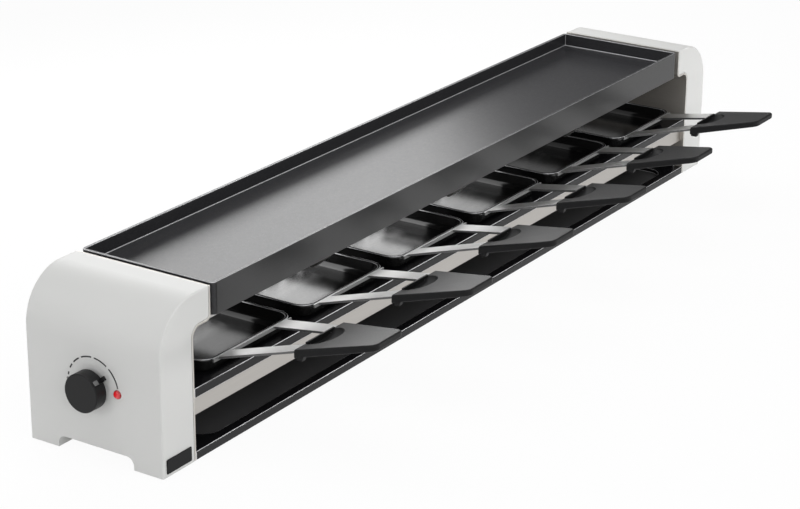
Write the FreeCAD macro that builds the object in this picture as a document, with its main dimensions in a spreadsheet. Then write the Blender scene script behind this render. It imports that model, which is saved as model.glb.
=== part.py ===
import FreeCAD, Part
import math
import os
import re

import Sketcher

# Raclette grill for a table: two end caps carry sheet-metal linings, a lift-off grill plate on rails,
# a heating element under it, a shelf with six pans, a heat shield and a base tray for parking pans.
# X runs along the body to the right, Y to the back, Z up. The origin is the middle of the body
# on the table. All sizes are in millimetres.

sizes = [
    # end caps
    ("body_length", 810, "over the end caps"),
    ("body_depth", 118, "front to back of the end caps"),
    ("body_height", 124, "table to the rim of the plate"),
    ("cap_top_width", 54, "width of a cap beside the plate"),
    ("cap_leg_width", 34.5, "width of a cap below its shoulder"),
    ("cap_wall", 2.5, "wall of the moulded caps"),
    ("cap_round", 38, "radius of the big outer top edge"),
    ("cap_edge", 1.2, "rounding of the front and back edges"),
    ("shoulder_drop", 23.5, "plate's rim to the underside of the wide top part"),
    ("shoulder_height", "=body_height - shoulder_drop", "underside of the wide top part"),
    ("shoulder_hollow", 9, "inner radius under the shoulder"),
    ("shoulder_nose", 3, "outer radius of the shoulder"),
    ("foot_rise", 1, "table to the underside of a cap"),
    ("foot_length", 25.5, "one foot, front to back"),
    ("foot_gap_width", "=body_depth - 2 * foot_length", "notch between the feet"),
    ("foot_gap_height", 9, "notch above the cap's underside"),
    ("foot_gap_round", 6, "upper corners of the notch"),
    ("foot_pad_radius", 6, "rubber pad"),
    ("foot_pad_seat", 1.5, "pad's depth in its seat"),
    ("foot_pad_inset", 13, "pad's centre from the cap's front and back"),
    ("foot_pad_side", 17, "pad's centre from the cap's outer face"),
    # fastening of the caps
    ("boss_radius", 4, "screw boss in a cap"),
    ("screw_radius", 1.5, "cap screw"),
    ("screw_play", 0.05, "round a screw or rivet in its hole"),
    ("screw_length", 10, "under the head"),
    ("screw_head_radius", 2.75, "low head"),
    ("screw_head", 1.6, "height of the head"),
    ("upper_screw_drop", 12, "upper cap screws under the plate's rim"),
    ("upper_screw_inset", 17, "upper cap screws from the caps' front and back"),
    ("upper_screw_height", "=body_height - upper_screw_drop", "beside the plate"),
    ("upper_screw_offset", "=body_depth / 2 - upper_screw_inset", "from the middle plane"),
    ("lower_screw_rise", 10.5, "lower cap screws above the heat shield's underside"),
    ("lower_screw_inset", 25, "lower cap screws from the caps' front and back"),
    ("lower_screw_height", "=shield_bottom + lower_screw_rise", "inside the heat shield"),
    ("lower_screw_offset", "=body_depth / 2 - lower_screw_inset", "from the middle plane"),
    ("rivet_head_radius", 2.5, "domed side of a frame rivet"),
    ("rivet_head", 1, "height of a rivet's head"),
    ("rivet_tail", 2, "past the lining"),
    ("rear_rivet_low", 20, "height of the rear panel's lower rivets"),
    ("rear_rivet_rise", 17.5, "rear panel's upper rivets above the shelf"),
    ("rear_rivet_high", "=shelf_height + rear_rivet_rise", "height of the rear panel's upper rivets"),
    ("tray_rivet_inset", 33, "base tray's rivets from the caps' front and back"),
    ("tray_rivet_offset", "=body_depth / 2 - tray_rivet_inset", "from the middle plane"),
    # linings
    ("liner_wall", 1.5, "side panel"),
    # grill plate
    ("plate_gap", 4, "side panel to the plate"),
    ("plate_setback", 0.3, "plate behind the caps' front face"),
    ("plate_height", 24, "rim to the skirt's lower edge"),
    ("plate_wall", 2.2, "rim and skirt"),
    ("plate_drop", 11, "rim to the crease of the inner wall"),
    ("plate_depth", 15, "rim to the frying surface"),
    ("plate_floor", 4, "thickness under the frying surface"),
    ("plate_cove", 12, "run of the sloped cove"),
    ("plate_corner", 4, "outer corner radius"),
    # rails
    ("rail_wall", 1.2, "folded rail"),
    ("rail_setback", 9, "behind the caps' front and back faces"),
    ("rail_web", 10.5, "height of a rail"),
    ("rail_flange", 9, "depth of a rail's top"),
    ("rail_clear", 0.6, "round a rail in the plate's notch"),
    ("rail_tab_width", 14, "end tab"),
    ("rail_tab_height", 16, "end tab above the rail"),
    # rear panel
    ("rear_wall", 1.2, "rear panel"),
    ("rear_clear", 0.5, "above and below the rear panel"),
    ("rear_flange", 12, "end flange"),
    ("vent_count", 28, "slots in the rear panel"),
    ("vent_side", 81, "outer slots from the caps' outer faces"),
    ("vent_pitch", "=(body_length - 2 * vent_side) / (vent_count - 1)", "slot spacing"),
    ("vent_width", 10, "slot"),
    ("vent_height", 4, "slot"),
    ("vent_drop", 36, "slots under the plate's rim"),
    ("vent_place", "=body_height - vent_drop", "height of the slots' centre"),
    # shelf and heat shield
    ("shelf_drop", 69.5, "plate's rim to the shelf"),
    ("shelf_height", "=body_height - shelf_drop", "top of the shelf"),
    ("shelf_wall", 1.2, "shelf sheet"),
    ("shelf_lip", 7, "folded front edge"),
    ("shelf_bend", 1.1, "outer radius of the fold"),
    ("shield_setback", 3.7, "apron behind the shelf's edge"),
    ("shield_wall", 1, "heat shield sheet"),
    ("shield_depth", 22, "shelf's top to the heat shield's underside"),
    ("shield_bottom", "=shelf_height - shield_depth", "underside above the table"),
    # base tray
    ("base_top", 7.5, "border of the base tray"),
    ("base_wall", 1.2, "tray sheet"),
    ("base_border", 8, "round the recess"),
    ("base_end_border", 22, "at the recess's ends"),
    ("base_recess", 3.5, "depth of the recess"),
    ("base_corner", 15, "corner radius of the recess"),
    ("base_upstand_share", 0.56, "end walls' part of the height under the heat shield"),
    ("base_upstand", "=base_upstand_share * (shield_bottom - base_top)", "end walls above the border"),
    # pans
    ("pan_count", 6, "pans in the row"),
    ("pan_gap", 14.4, "between two pans"),
    ("pan_margin", 18, "side panel to the outer pan"),
    ("pan_row", "=body_length - 2 * (cap_leg_width + liner_wall + pan_margin)", "over the row of pans"),
    ("pan_pitch", "=(pan_row + pan_gap) / pan_count", "spacing of the pans"),
    ("pan_width", "=pan_pitch - pan_gap", "over the rim"),
    ("pan_setback", 4.4, "front rim behind the caps' front face"),
    ("pan_front", "=body_depth / 2 - pan_setback", "front rim from the middle plane"),
    ("pan_rear_gap", 9.1, "rear rim to the rear panel"),
    ("pan_rear", "=body_depth / 2 - plate_setback - rear_wall - pan_rear_gap", "rear rim"),
    ("pan_length", "=pan_front + pan_rear", "over the rim, front to back"),
    ("pan_height", 12, "shelf to the rim"),
    ("pan_wall", 1.2, "pan sheet"),
    ("pan_draft", 4, "run of the sloped wall"),
    ("pan_corner", 13, "rim's corner radius"),
    ("pan_foot_round", 3.5, "bottom edge"),
    ("pan_rim", 1.8, "width of the rim"),
    ("pan_rim_depth", 1.4, "height of the rim"),
    # pan brackets
    ("strip_thickness", 1.8, "flat steel"),
    ("strip_width", 15.5, "one arm"),
    ("bar_inset", 7, "crossbar's end from the side of the rim"),
    ("bar_width", "=pan_width - 2 * bar_inset", "crossbar under the rim"),
    ("bar_height", 2.4, "crossbar"),
    ("arm_inset", 5.1, "arm from the crossbar's end"),
    ("arm_root_spread", "=bar_width - 2 * arm_inset", "over the arms at the pan"),
    ("arm_grip_spread", 54, "over the arms at the handle"),
    ("arm_rise", 14, "from the rim to the handle"),
    ("arm_embed", 10, "arm inside the handle"),
    ("tongue_width", 6, "narrow end of an arm inside the handle"),
    # handles
    ("arm_reach", 58.4, "pan's front rim to the handle"),
    ("grip_front", "=pan_front + arm_reach", "handle's rear edge from the middle plane"),
    ("grip_length", 58, "handle"),
    ("grip_rear_width", 60, "at the arms"),
    ("grip_tip_width", 33.5, "at the tip"),
    ("grip_cover", 1.6, "plastic over the arms"),
    ("grip_thickness", 6.4, "at the arms"),
    ("grip_tip_thickness", 5, "at the tip"),
    ("grip_rise", 12.9, "from the arms to the tip"),
    ("grip_corner", 6, "tip corners"),
    ("grip_edge", 1.4, "rounding of the long edges"),
    ("scoop_width", 33, "thumb hollow"),
    ("scoop_reach", 13, "thumb hollow"),
    ("scoop_depth", 2.8, "thumb hollow"),
    ("rib_wall", 1.2, "rib behind the thumb hollow"),
    ("rib_rise", 1.2, "rib above the handle"),
    ("lug_inset", 1.5, "lug from the handle's rear corner"),
    ("lug_start", 0.5, "lug from the handle's rear edge"),
    ("lug_length", 5, "resting lug under the handle"),
    ("lug_width", 4, "resting lug"),
    ("lug_depth", 1.4, "resting lug below the handle"),
    # heating element
    ("element_radius", 3.25, "sheath"),
    ("element_drop", 38, "centre line under the plate's rim"),
    ("element_height", "=body_height - element_drop", "centre line"),
    ("element_pitch", 20, "spacing of the four runs"),
    ("element_end", 27, "cold ends from the left cap's outer face"),
    ("element_bend", 75, "bends' centres from the caps' outer faces"),
    ("element_left", "=body_length / 2 - element_end", "cold ends from the middle"),
    ("element_left_bend", "=body_length / 2 - element_bend", "inner bend's centre from the middle"),
    ("element_right_bend", "=body_length / 2 - element_bend", "outer bends' centre from the middle"),
    ("strap_width", 10, "support strap"),
    ("strap_wall", 1.2, "support strap"),
    ("strap_gap", 0.2, "strap to the sheath"),
    ("strap_inset", 140, "outer straps from the bends' centres"),
    ("strap_pitch", "=element_right_bend - strap_inset", "spacing of the three straps"),
    ("bushing_radius", 4.5, "in the lining"),
    ("bushing_flange", 6, "flange radius"),
    ("bushing_wall", 1.5, "flange thickness"),
    ("bushing_length", 9, "over all"),
    ("bushing_play", 0.1, "round the sheath and in the lining"),
    ("terminal_radius", 1.2, "cold pin"),
    ("terminal_length", 8, "past the sheath"),
    # control
    ("dial_height", 54.4, "knob's axis above the table"),
    ("knob_radius", 14.2, "knob"),
    ("knob_length", 10.2, "knob"),
    ("knob_gap", 3, "knob's rim to the cap"),
    ("knob_edge", 0.8, "face edge"),
    ("knob_hollow_radius", 12.2, "back of the knob"),
    ("knob_hollow", 3.5, "back of the knob"),
    ("knob_hub_radius", 5.5, "hub"),
    ("knob_hub_reach", 2.4, "hub towards the cap"),
    ("knob_angle", 50, "pointer from the top, as photographed"),
    ("pointer_width", 3.2, "rib and tab on the knob's side"),
    ("pointer_rise", 1.1, "rib above the knob's side"),
    ("pointer_reach", 4, "tab past the knob's side"),
    ("pointer_height", 2.6, "tab along the knob"),
    ("mark_length", 4, "light strip on the rib"),
    ("mark_height", 0.3, "light strip above the rib"),
    ("shaft_radius", 3, "thermostat shaft"),
    ("shaft_play", 0.05, "in the knob"),
    ("shaft_hole", 4.5, "in the cap and the bracket"),
    ("shaft_engage", 7.2, "shaft in the knob"),
    ("thermostat_length", 20, "along the shaft"),
    ("thermostat_width", 30, "housing"),
    ("thermostat_height", 26, "housing"),
    ("thermostat_plate", 1.5, "mounting plate"),
    ("thermostat_plate_width", 32, "mounting plate"),
    ("thermostat_plate_height", 20, "mounting plate"),
    ("thermostat_screw_offset", 9, "screws from the axis"),
    # lamp
    ("lamp_radius", 3.25, "lens"),
    ("lamp_play", 0.05, "lens in its hole"),
    ("lamp_offset", 21.5, "lamp from the knob's axis"),
    ("lamp_proud", 1.8, "lens past the cap"),
    ("lamp_body_radius", 5, "holder"),
    ("lamp_body_length", 16, "holder"),
    ("lamp_insert", 6, "lens inside the holder"),
    # wiring parts
    ("block_length", 26, "terminal block"),
    ("block_width", 12, "terminal block"),
    ("block_height", 13, "terminal block"),
    ("block_side", 17, "block's centre from the cap's outer face"),
    ("clamp_radius", 2, "clamping screw"),
    ("clamp_depth", 5, "clamping screw in the block"),
    ("clamp_proud", 0.6, "clamping screw above the block"),
    ("clamp_pitch", 8, "spacing"),
    ("inlet_side", 17, "inlet's centre from the cap's outer face"),
    ("inlet_height", 45, "inlet's centre above the table"),
    ("inlet_flange_width", 24, "flange"),
    ("inlet_flange_height", 32, "flange"),
    ("inlet_flange", 2.5, "flange thickness"),
    ("inlet_body_width", 20.5, "housing"),
    ("inlet_body_height", 28, "housing"),
    ("inlet_body_depth", 17, "behind the wall"),
    ("inlet_play", 0.1, "housing in the wall"),
    ("inlet_mouth_width", 17, "socket"),
    ("inlet_mouth_height", 24.5, "socket"),
    ("inlet_mouth_depth", 16, "socket"),
    ("pin_width", 4, "contact blade"),
    ("pin_thickness", 2, "contact blade"),
    ("pin_length", 10.5, "blade in the socket"),
    ("pin_pitch", 7, "spacing"),
    ("pin_stagger", 4, "earth blade beside the others"),
    ("pin_tail", 4, "blade behind the housing"),
    # blank plate
    ("badge_width", 26.6, "blank plate"),
    ("badge_height", 10.6, "blank plate"),
    ("badge_thickness", 0.8, "blank plate"),
    ("badge_side", 17, "plate's centre from the cap's outer face"),
    ("badge_place", 8.8, "plate's centre above the table"),
]

doc = FreeCAD.newDocument("RacletteGrill")
sheet = doc.addObject("Spreadsheet::Sheet", "sizes")
for row, (alias, value, note) in enumerate(sizes, start=1):
    sheet.set(f"A{row}", alias)
    sheet.set(f"B{row}", str(value))
    sheet.set(f"C{row}", note)
    sheet.setAlias(f"B{row}", alias)
doc.recompute()

aliases = {alias for alias, value, note in sizes}
node_names = []


def size(alias):
    return float(sheet.get(alias))


def formula(text):
    def with_sheet(match):
        word = match.group()
        return "sizes." + word if word in aliases else word
    return re.sub(r"[a-z_]+", with_sheet, str(text))


def bind(thing, name, text):
    thing.setExpression(name, formula(text))


def keep(thing, label):
    # names a finished sub-part, whose shape is written out at the end
    thing.Label = label
    node_names.append(thing.Name)
    return thing


# Sketched bodies

def new_body(label):
    return keep(doc.addObject("PartDesign::Body", label), label)


def sketch_on(body, role, offset="0"):
    sketch = body.newObject("Sketcher::SketchObject", body.Name + "_sketch")
    planes = [plane for plane in body.Origin.OriginFeatures if plane.Role == role]
    sketch.AttachmentSupport = [(planes[0], "")]
    sketch.MapMode = "FlatFace"
    bind(sketch, "AttachmentOffset.Base.z", offset)
    return sketch


def place_point(sketch, index, position, place):
    # ties one point of a sketch to two formulas, measured from the sketch's origin
    for kind, text in zip(("DistanceX", "DistanceY"), place):
        number = sketch.addConstraint(Sketcher.Constraint(kind, -1, 1, index, position, 1.0))
        bind(sketch, f"Constraints[{number}]", text)


# where a sketch's points and arcs start before their constraints place them
first_reach = 30
first_radius = 5


def draw_outline(sketch, corners):
    count = len(corners)
    start = sketch.GeometryCount
    spots = []
    for step in range(count):
        turn = 2 * math.pi * step / count
        spots.append(FreeCAD.Vector(math.cos(turn), math.sin(turn), 0) * first_reach)
    for step in range(count):
        sketch.addGeometry(Part.LineSegment(spots[step], spots[(step + 1) % count]))
    for step in range(count):
        following = start + (step + 1) % count
        sketch.addConstraint(Sketcher.Constraint("Coincident", start + step, 2, following, 1))
    for step, place in enumerate(corners):
        place_point(sketch, start + step, 1, place)


def draw_box(sketch, low, high):
    draw_outline(sketch, [low, (high[0], low[1]), high, (low[0], high[1])])


def draw_round_box(sketch, middle, half, radius):
    # four lines and four tangent arcs round a middle, with half sizes along the sketch's axes
    start = sketch.GeometryCount
    flat = FreeCAD.Vector(0, 0, 1)
    places = [(1, -1), (1, 1), (-1, 1), (-1, -1)]
    for step, (across, up) in enumerate(places):
        centre = FreeCAD.Vector(across, up, 0) * (first_reach - first_radius)
        turn = (step - 1) * math.pi / 2
        heading = FreeCAD.Vector(math.cos(turn), math.sin(turn), 0)
        behind = FreeCAD.Vector(*places[step - 1], 0) * (first_reach - first_radius)
        edge = heading * first_radius
        sketch.addGeometry(Part.LineSegment(behind + edge, centre + edge))
        circle = Part.Circle(centre, flat, first_radius)
        sketch.addGeometry(Part.ArcOfCircle(circle, turn, turn + math.pi / 2))
    for step, (across, up) in enumerate(places):
        line = start + 2 * step
        arc = line + 1
        following = start + 2 * ((step + 1) % 4)
        sketch.addConstraint(Sketcher.Constraint("Tangent", line, 2, arc, 1))
        sketch.addConstraint(Sketcher.Constraint("Tangent", arc, 2, following, 1))
        place_point(sketch, arc, 3, (f"{middle[0]} + {across} * ({half[0]} - ({radius}))",
                                     f"{middle[1]} + {up} * ({half[1]} - ({radius}))"))
        number = sketch.addConstraint(Sketcher.Constraint("Radius", arc, float(first_radius)))
        bind(sketch, f"Constraints[{number}]", radius)


def draw_circle(sketch, place, radius):
    flat = FreeCAD.Vector(0, 0, 1)
    index = sketch.addGeometry(Part.Circle(FreeCAD.Vector(0, 0, 0), flat, 5.0))
    place_point(sketch, index, 3, place)
    number = sketch.addConstraint(Sketcher.Constraint("Radius", index, 5.0))
    bind(sketch, f"Constraints[{number}]", radius)


def extrude(body, kind, sketch, length, side="One side", reverse=False):
    feature = body.newObject("PartDesign::" + kind, body.Name + "_" + kind.lower())
    feature.Profile = sketch
    feature.SideType = side
    feature.Reversed = reverse
    bind(feature, "Length", length)
    return feature


def pad(body, sketch, length, **options):
    return extrude(body, "Pad", sketch, length, **options)


def pocket(body, sketch, length, **options):
    return extrude(body, "Pocket", sketch, length, **options)


def round_edges(body, radius, wanted):
    # rounds the edges of the body so far that the test picks out
    doc.recompute()
    base = body.Tip
    names = [f"Edge{n}" for n, edge in enumerate(base.Shape.Edges, start=1) if wanted(edge)]
    feature = body.newObject("PartDesign::Fillet", body.Name + "_fillet")
    feature.Base = (base, names)
    bind(feature, "Radius", radius)
    return feature


def near(value, target, slack=0.05):
    return abs(value - target) < slack


def runs_along(edge, axis):
    box = edge.BoundBox
    spans = {"x": box.XLength, "y": box.YLength, "z": box.ZLength}
    own = spans.pop(axis)
    return own > 0.1 and max(spans.values()) < 1e-4


# Plain solids and how they are joined

def place_at(thing, x, y, z):
    for letter, text in zip("xyz", (x, y, z)):
        bind(thing, f"Placement.Base.{letter}", text)


def block(low, high, name="block"):
    solid = doc.addObject("Part::Box", name)
    for prop, a, b in zip(("Length", "Width", "Height"), low, high):
        bind(solid, prop, f"({b}) - ({a})")
    place_at(solid, *low)
    return solid


def rod(start, radius, length, axis, name="rod"):
    # a cylinder from its start along +X, +Y or +Z
    solid = doc.addObject("Part::Cylinder", name)
    turns = {
        "x": FreeCAD.Rotation(FreeCAD.Vector(0, 1, 0), 90),
        "y": FreeCAD.Rotation(FreeCAD.Vector(1, 0, 0), -90),
        "z": FreeCAD.Rotation(),
    }
    solid.Placement = FreeCAD.Placement(FreeCAD.Vector(), turns[axis])
    bind(solid, "Radius", radius)
    bind(solid, "Height", length)
    place_at(solid, *start)
    return solid


def fuse(parts, name="fuse"):
    joined = doc.addObject("Part::MultiFuse", name)
    joined.Shapes = parts
    joined.Refine = True
    return joined


def cut(base, tool, name="cut"):
    left = doc.addObject("Part::Cut", name)
    left.Base = base
    left.Tool = tool
    return left


def group(parts, name="group"):
    held = doc.addObject("Part::Compound", name)
    held.Links = parts
    return held


# Formulas used by more than one piece

half_length = "body_length / 2"
half_depth = "body_depth / 2"
top_face = "(body_length / 2 - cap_top_width)"
leg_face = "(body_length / 2 - cap_leg_width)"
top_lining = "(body_length / 2 - cap_top_width - liner_wall)"
leg_lining = "(body_length / 2 - cap_leg_width - liner_wall)"
cap_floor = "(foot_rise + foot_gap_height + cap_wall)"
rail_top = "(body_height - plate_depth - plate_floor)"
rail_bottom = "(body_height - plate_depth - plate_floor - rail_web)"
rail_face = "(body_depth / 2 - rail_setback)"
rear_face = "(body_depth / 2 - plate_setback - rear_wall)"
shelf_under = "(shelf_height - shelf_wall)"
element_edge = "(element_pitch * 1.5)"
knob_back = "(body_length / 2 + knob_gap)"


def pair_of_places(height, offset):
    return [(f"-({offset})", height), (offset, height)]


upper_screws = pair_of_places("upper_screw_height", "upper_screw_offset")
lower_screws = pair_of_places("lower_screw_height", "lower_screw_offset")
rear_rivet_offset = "(body_depth / 2 - plate_setback - rear_wall - rear_flange / 2)"
rear_rivets = [(rear_rivet_offset, "rear_rivet_low"), (rear_rivet_offset, "rear_rivet_high")]
tray_rivet_height = "(base_top + base_upstand / 2)"
tray_rivets = pair_of_places(tray_rivet_height, "tray_rivet_offset")
bushing_places = pair_of_places("element_height", element_edge)
hole_radius = "screw_radius + screw_play"


def end_cap(label, side):
    # moulded shell, open towards the middle, with a notch between its feet
    body = new_body(label)
    sketch = sketch_on(body, "XZ_Plane")
    draw_outline(sketch, [
        (f"{side} * {half_length}", "foot_rise"),
        (f"{side} * {half_length}", "body_height"),
        (f"{side} * {top_face}", "body_height"),
        (f"{side} * {top_face}", "shoulder_height"),
        (f"{side} * {leg_face}", "shoulder_height"),
        (f"{side} * {leg_face}", "foot_rise"),
    ])
    pad(body, sketch, "body_depth", side="Symmetric")
    outer_x = side * size("body_length") / 2
    top_x = side * (size("body_length") / 2 - size("cap_top_width"))
    leg_x = side * (size("body_length") / 2 - size("cap_leg_width"))

    def long_edge(x, z):
        def wanted(edge):
            middle = edge.CenterOfMass
            return runs_along(edge, "y") and near(middle.x, x) and near(middle.z, z)
        return wanted

    hollow = sketch_on(body, "XZ_Plane")
    draw_box(hollow,
             (f"{side} * ({half_length} - cap_wall)", cap_floor),
             (f"{side} * ({top_face} - cap_wall)", "body_height - cap_wall"))
    pocket(body, hollow, "body_depth - 2 * cap_wall", side="Symmetric")
    inner_x = side * (size("body_length") / 2 - size("cap_wall"))
    round_edges(body, "cap_round - cap_wall", long_edge(inner_x, size("body_height") - size("cap_wall")))
    round_edges(body, "cap_round", long_edge(outer_x, size("body_height")))
    round_edges(body, "shoulder_hollow", long_edge(leg_x, size("shoulder_height")))
    round_edges(body, "shoulder_nose", long_edge(top_x, size("shoulder_height")))

    def outline_edge(edge):
        # front and back edges of the outer side and the top, but not those at the lining
        box = edge.BoundBox
        outer = min(abs(box.XMin), abs(box.XMax)) > size("body_length") / 2 - size("cap_round") - 0.1
        on_top = near(box.ZMin, size("body_height")) and box.YLength < 0.1
        at_outer = box.YLength < 0.1 and outer and box.ZLength > 1
        return near(abs(edge.CenterOfMass.y), size("body_depth") / 2) and (at_outer or on_top)

    round_edges(body, "cap_edge", outline_edge)

    feet = sketch_on(body, "XY_Plane", cap_floor)
    for end in (-1, 1):
        draw_box(feet,
                 (f"{side} * ({half_length} - cap_wall)", f"{end} * (foot_gap_width / 2 + cap_wall)"),
                 (f"{side} * ({leg_face} - cap_wall)", f"{end} * ({half_depth} - cap_wall)"))
    pocket(body, feet, "foot_gap_height - foot_pad_seat")

    notch = sketch_on(body, "YZ_Plane", f"{side} * {half_length}")
    draw_box(notch,
             ("-foot_gap_width / 2", "foot_rise - cap_wall"),
             ("foot_gap_width / 2", "foot_rise + foot_gap_height"))
    pocket(body, notch, "4 * cap_leg_width", side="Symmetric")
    notch_top = size("foot_rise") + size("foot_gap_height")

    def notch_corner(edge):
        middle = edge.CenterOfMass
        return runs_along(edge, "x") and near(middle.z, notch_top) and \
            near(abs(middle.y), size("foot_gap_width") / 2)

    round_edges(body, "foot_gap_round", notch_corner)

    seats = sketch_on(body, "XY_Plane", "foot_rise")
    for end in (-1, 1):
        draw_circle(seats, (f"{side} * ({half_length} - foot_pad_side)",
                            f"{end} * ({half_depth} - foot_pad_inset)"), "foot_pad_radius")
    pocket(body, seats, "foot_pad_seat", reverse=True)

    # screw bosses stand between the lining and the outer wall
    drop = "(upper_screw_height + boss_radius - body_height + cap_round)"
    upper_end = f"({half_length} - cap_round + sqrt((cap_round - cap_wall / 2) ^ 2 - {drop} ^ 2))"
    for places, face, end in ((upper_screws, top_face, upper_end),
                              (lower_screws, leg_face, f"({half_length} - cap_wall / 2)")):
        bosses = sketch_on(body, "YZ_Plane", f"{side} * {face}")
        for place in places:
            draw_circle(bosses, place, "boss_radius")
        pad(body, bosses, f"{end} - {face}", reverse=side < 0)
        drilled = sketch_on(body, "YZ_Plane", f"{side} * {face}")
        for place in places:
            draw_circle(drilled, place, hole_radius)
        pocket(body, drilled, "screw_length", reverse=side > 0)
    return body


def open_left_cap(body):
    # holes for the shaft, its screws, the lamp and the inlet
    control = sketch_on(body, "YZ_Plane", f"-{half_length}")
    draw_circle(control, ("0", "dial_height"), "shaft_hole")
    draw_circle(control, ("-lamp_offset", "dial_height"), "lamp_radius + lamp_play")
    for end in (-1, 1):
        draw_circle(control, (f"{end} * thermostat_screw_offset", "dial_height"), hole_radius)
    pocket(body, control, "3 * cap_wall", side="Symmetric")
    inlet = sketch_on(body, "XZ_Plane", f"-{half_depth}")
    middle = f"-({half_length} - inlet_side)"
    draw_box(inlet,
             (f"{middle} - inlet_body_width / 2 - inlet_play",
              "inlet_height - inlet_body_height / 2 - inlet_play"),
             (f"{middle} + inlet_body_width / 2 + inlet_play",
              "inlet_height + inlet_body_height / 2 + inlet_play"))
    pocket(body, inlet, "3 * cap_wall", side="Symmetric")


def side_panel(label, side):
    # bent lining: leg, shoulder and the upright beside the plate
    body = new_body(label)
    sketch = sketch_on(body, "XZ_Plane")
    draw_outline(sketch, [
        (f"{side} * {leg_face}", "foot_rise"),
        (f"{side} * {leg_face}", "shoulder_height"),
        (f"{side} * {top_face}", "shoulder_height"),
        (f"{side} * {top_face}", "body_height"),
        (f"{side} * {top_lining}", "body_height"),
        (f"{side} * {top_lining}", "shoulder_height - liner_wall"),
        (f"{side} * {leg_lining}", "shoulder_height - liner_wall"),
        (f"{side} * {leg_lining}", "foot_rise"),
    ])
    pad(body, sketch, "body_depth", side="Symmetric")

    def bend(x, z):
        def wanted(edge):
            middle = edge.CenterOfMass
            return runs_along(edge, "y") and near(abs(middle.x), x) and near(middle.z, z)
        return wanted

    half = size("body_length") / 2
    wall = size("liner_wall")
    shoulder = size("shoulder_height")
    leg_x = half - size("cap_leg_width")
    top_x = half - size("cap_top_width")
    round_edges(body, "shoulder_hollow", bend(leg_x, shoulder))
    round_edges(body, "shoulder_hollow - liner_wall", bend(leg_x - wall, shoulder - wall))
    round_edges(body, "shoulder_nose", bend(top_x, shoulder))
    round_edges(body, "shoulder_nose + liner_wall", bend(top_x - wall, shoulder - wall))

    upper = sketch_on(body, "YZ_Plane", f"{side} * {top_face}")
    for place in upper_screws:
        draw_circle(upper, place, hole_radius)
    pocket(body, upper, "3 * liner_wall", side="Symmetric")
    lower = sketch_on(body, "YZ_Plane", f"{side} * {leg_face}")
    for place in lower_screws + rear_rivets + tray_rivets:
        draw_circle(lower, place, hole_radius)
    if side < 0:
        for place in bushing_places:
            draw_circle(lower, place, "bushing_radius + bushing_play")
    pocket(body, lower, "3 * liner_wall", side="Symmetric")
    return body


def grill_plate():
    body = new_body("grill_plate")
    half_x = "(body_length / 2 - cap_top_width - liner_wall - plate_gap)"
    half_y = f"({half_depth} - plate_setback)"
    outline = sketch_on(body, "XY_Plane", "body_height - plate_height")
    draw_box(outline, (f"-{half_x}", f"-{half_y}"), (half_x, half_y))
    pad(body, outline, "plate_height")
    round_edges(body, "plate_corner", lambda edge: runs_along(edge, "z"))
    upper = sketch_on(body, "XY_Plane", "body_height")
    draw_box(upper, (f"-{half_x} + plate_wall", f"-{half_y} + plate_wall"),
             (f"{half_x} - plate_wall", f"{half_y} - plate_wall"))
    pocket(body, upper, "plate_drop")
    lower = sketch_on(body, "XY_Plane", "body_height - plate_height")
    draw_box(lower, (f"-{half_x} + plate_wall", f"-{half_y} + plate_wall"),
             (f"{half_x} - plate_wall", f"{half_y} - plate_wall"))
    pocket(body, lower, "plate_height - plate_depth - plate_floor", reverse=True)
    # the end skirts are notched over the rails
    notches = sketch_on(body, "YZ_Plane")
    for end in (-1, 1):
        inner = f"{end} * ({rail_face} - rail_flange - rail_clear)"
        outer = f"{end} * ({rail_face} + rail_clear)"
        draw_box(notches, (inner, "body_height - 2 * plate_height"), (outer, rail_top))
    pocket(body, notches, "2 * body_length", side="Symmetric")
    # the cove slopes from the crease to the frying surface
    crease = sketch_on(body, "XY_Plane", "body_height - plate_drop")
    draw_box(crease, (f"-{half_x} + plate_wall", f"-{half_y} + plate_wall"),
             (f"{half_x} - plate_wall", f"{half_y} - plate_wall"))
    surface = sketch_on(body, "XY_Plane", "body_height - plate_depth")
    inset = "(plate_wall + plate_cove)"
    draw_box(surface, (f"-{half_x} + {inset}", f"-{half_y} + {inset}"),
             (f"{half_x} - {inset}", f"{half_y} - {inset}"))
    cove = body.newObject("PartDesign::SubtractiveLoft", "grill_plate_cove")
    cove.Profile = crease
    cove.Sections = [surface]
    cove.Ruled = True
    return body


def rail(label, end):
    # folded angle under the plate with a tab at each end, screwed to the lining and the cap
    web = block((f"-{top_lining}", f"{end} * {rail_face}", rail_bottom),
                (top_lining, f"{end} * {rail_face}", rail_top))
    bind(web, "Width", "rail_wall")
    flange = block((f"-{top_lining}", "0", f"{rail_top} - rail_wall"), (top_lining, "rail_flange", rail_top))
    flat = f"{rail_face} - rail_flange" if end > 0 else f"-{rail_face}"
    wall = f"{rail_face} - rail_wall" if end > 0 else f"-{rail_face}"
    bind(web, "Placement.Base.y", wall)
    bind(flange, "Placement.Base.y", flat)
    pieces = [web, flange]
    for side in (-1, 1):
        near_x = f"{top_lining} - rail_wall" if side > 0 else f"-{top_lining}"
        tab = block((near_x, "0", rail_bottom), (f"{near_x} + rail_wall", "rail_tab_width",
                                                 f"{rail_top} + rail_tab_height"))
        tab_y = f"{rail_face} - rail_tab_width" if end > 0 else f"-{rail_face}"
        bind(tab, "Placement.Base.y", tab_y)
        pieces.append(tab)
    holes = []
    for side in (-1, 1):
        start = f"{side} * {top_lining} - 2 * rail_wall"
        holes.append(rod((start, f"{end} * upper_screw_offset", "upper_screw_height"),
                         hole_radius, "4 * rail_wall", "x"))
    return keep(cut(fuse(pieces), group(holes), label), label)


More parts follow.
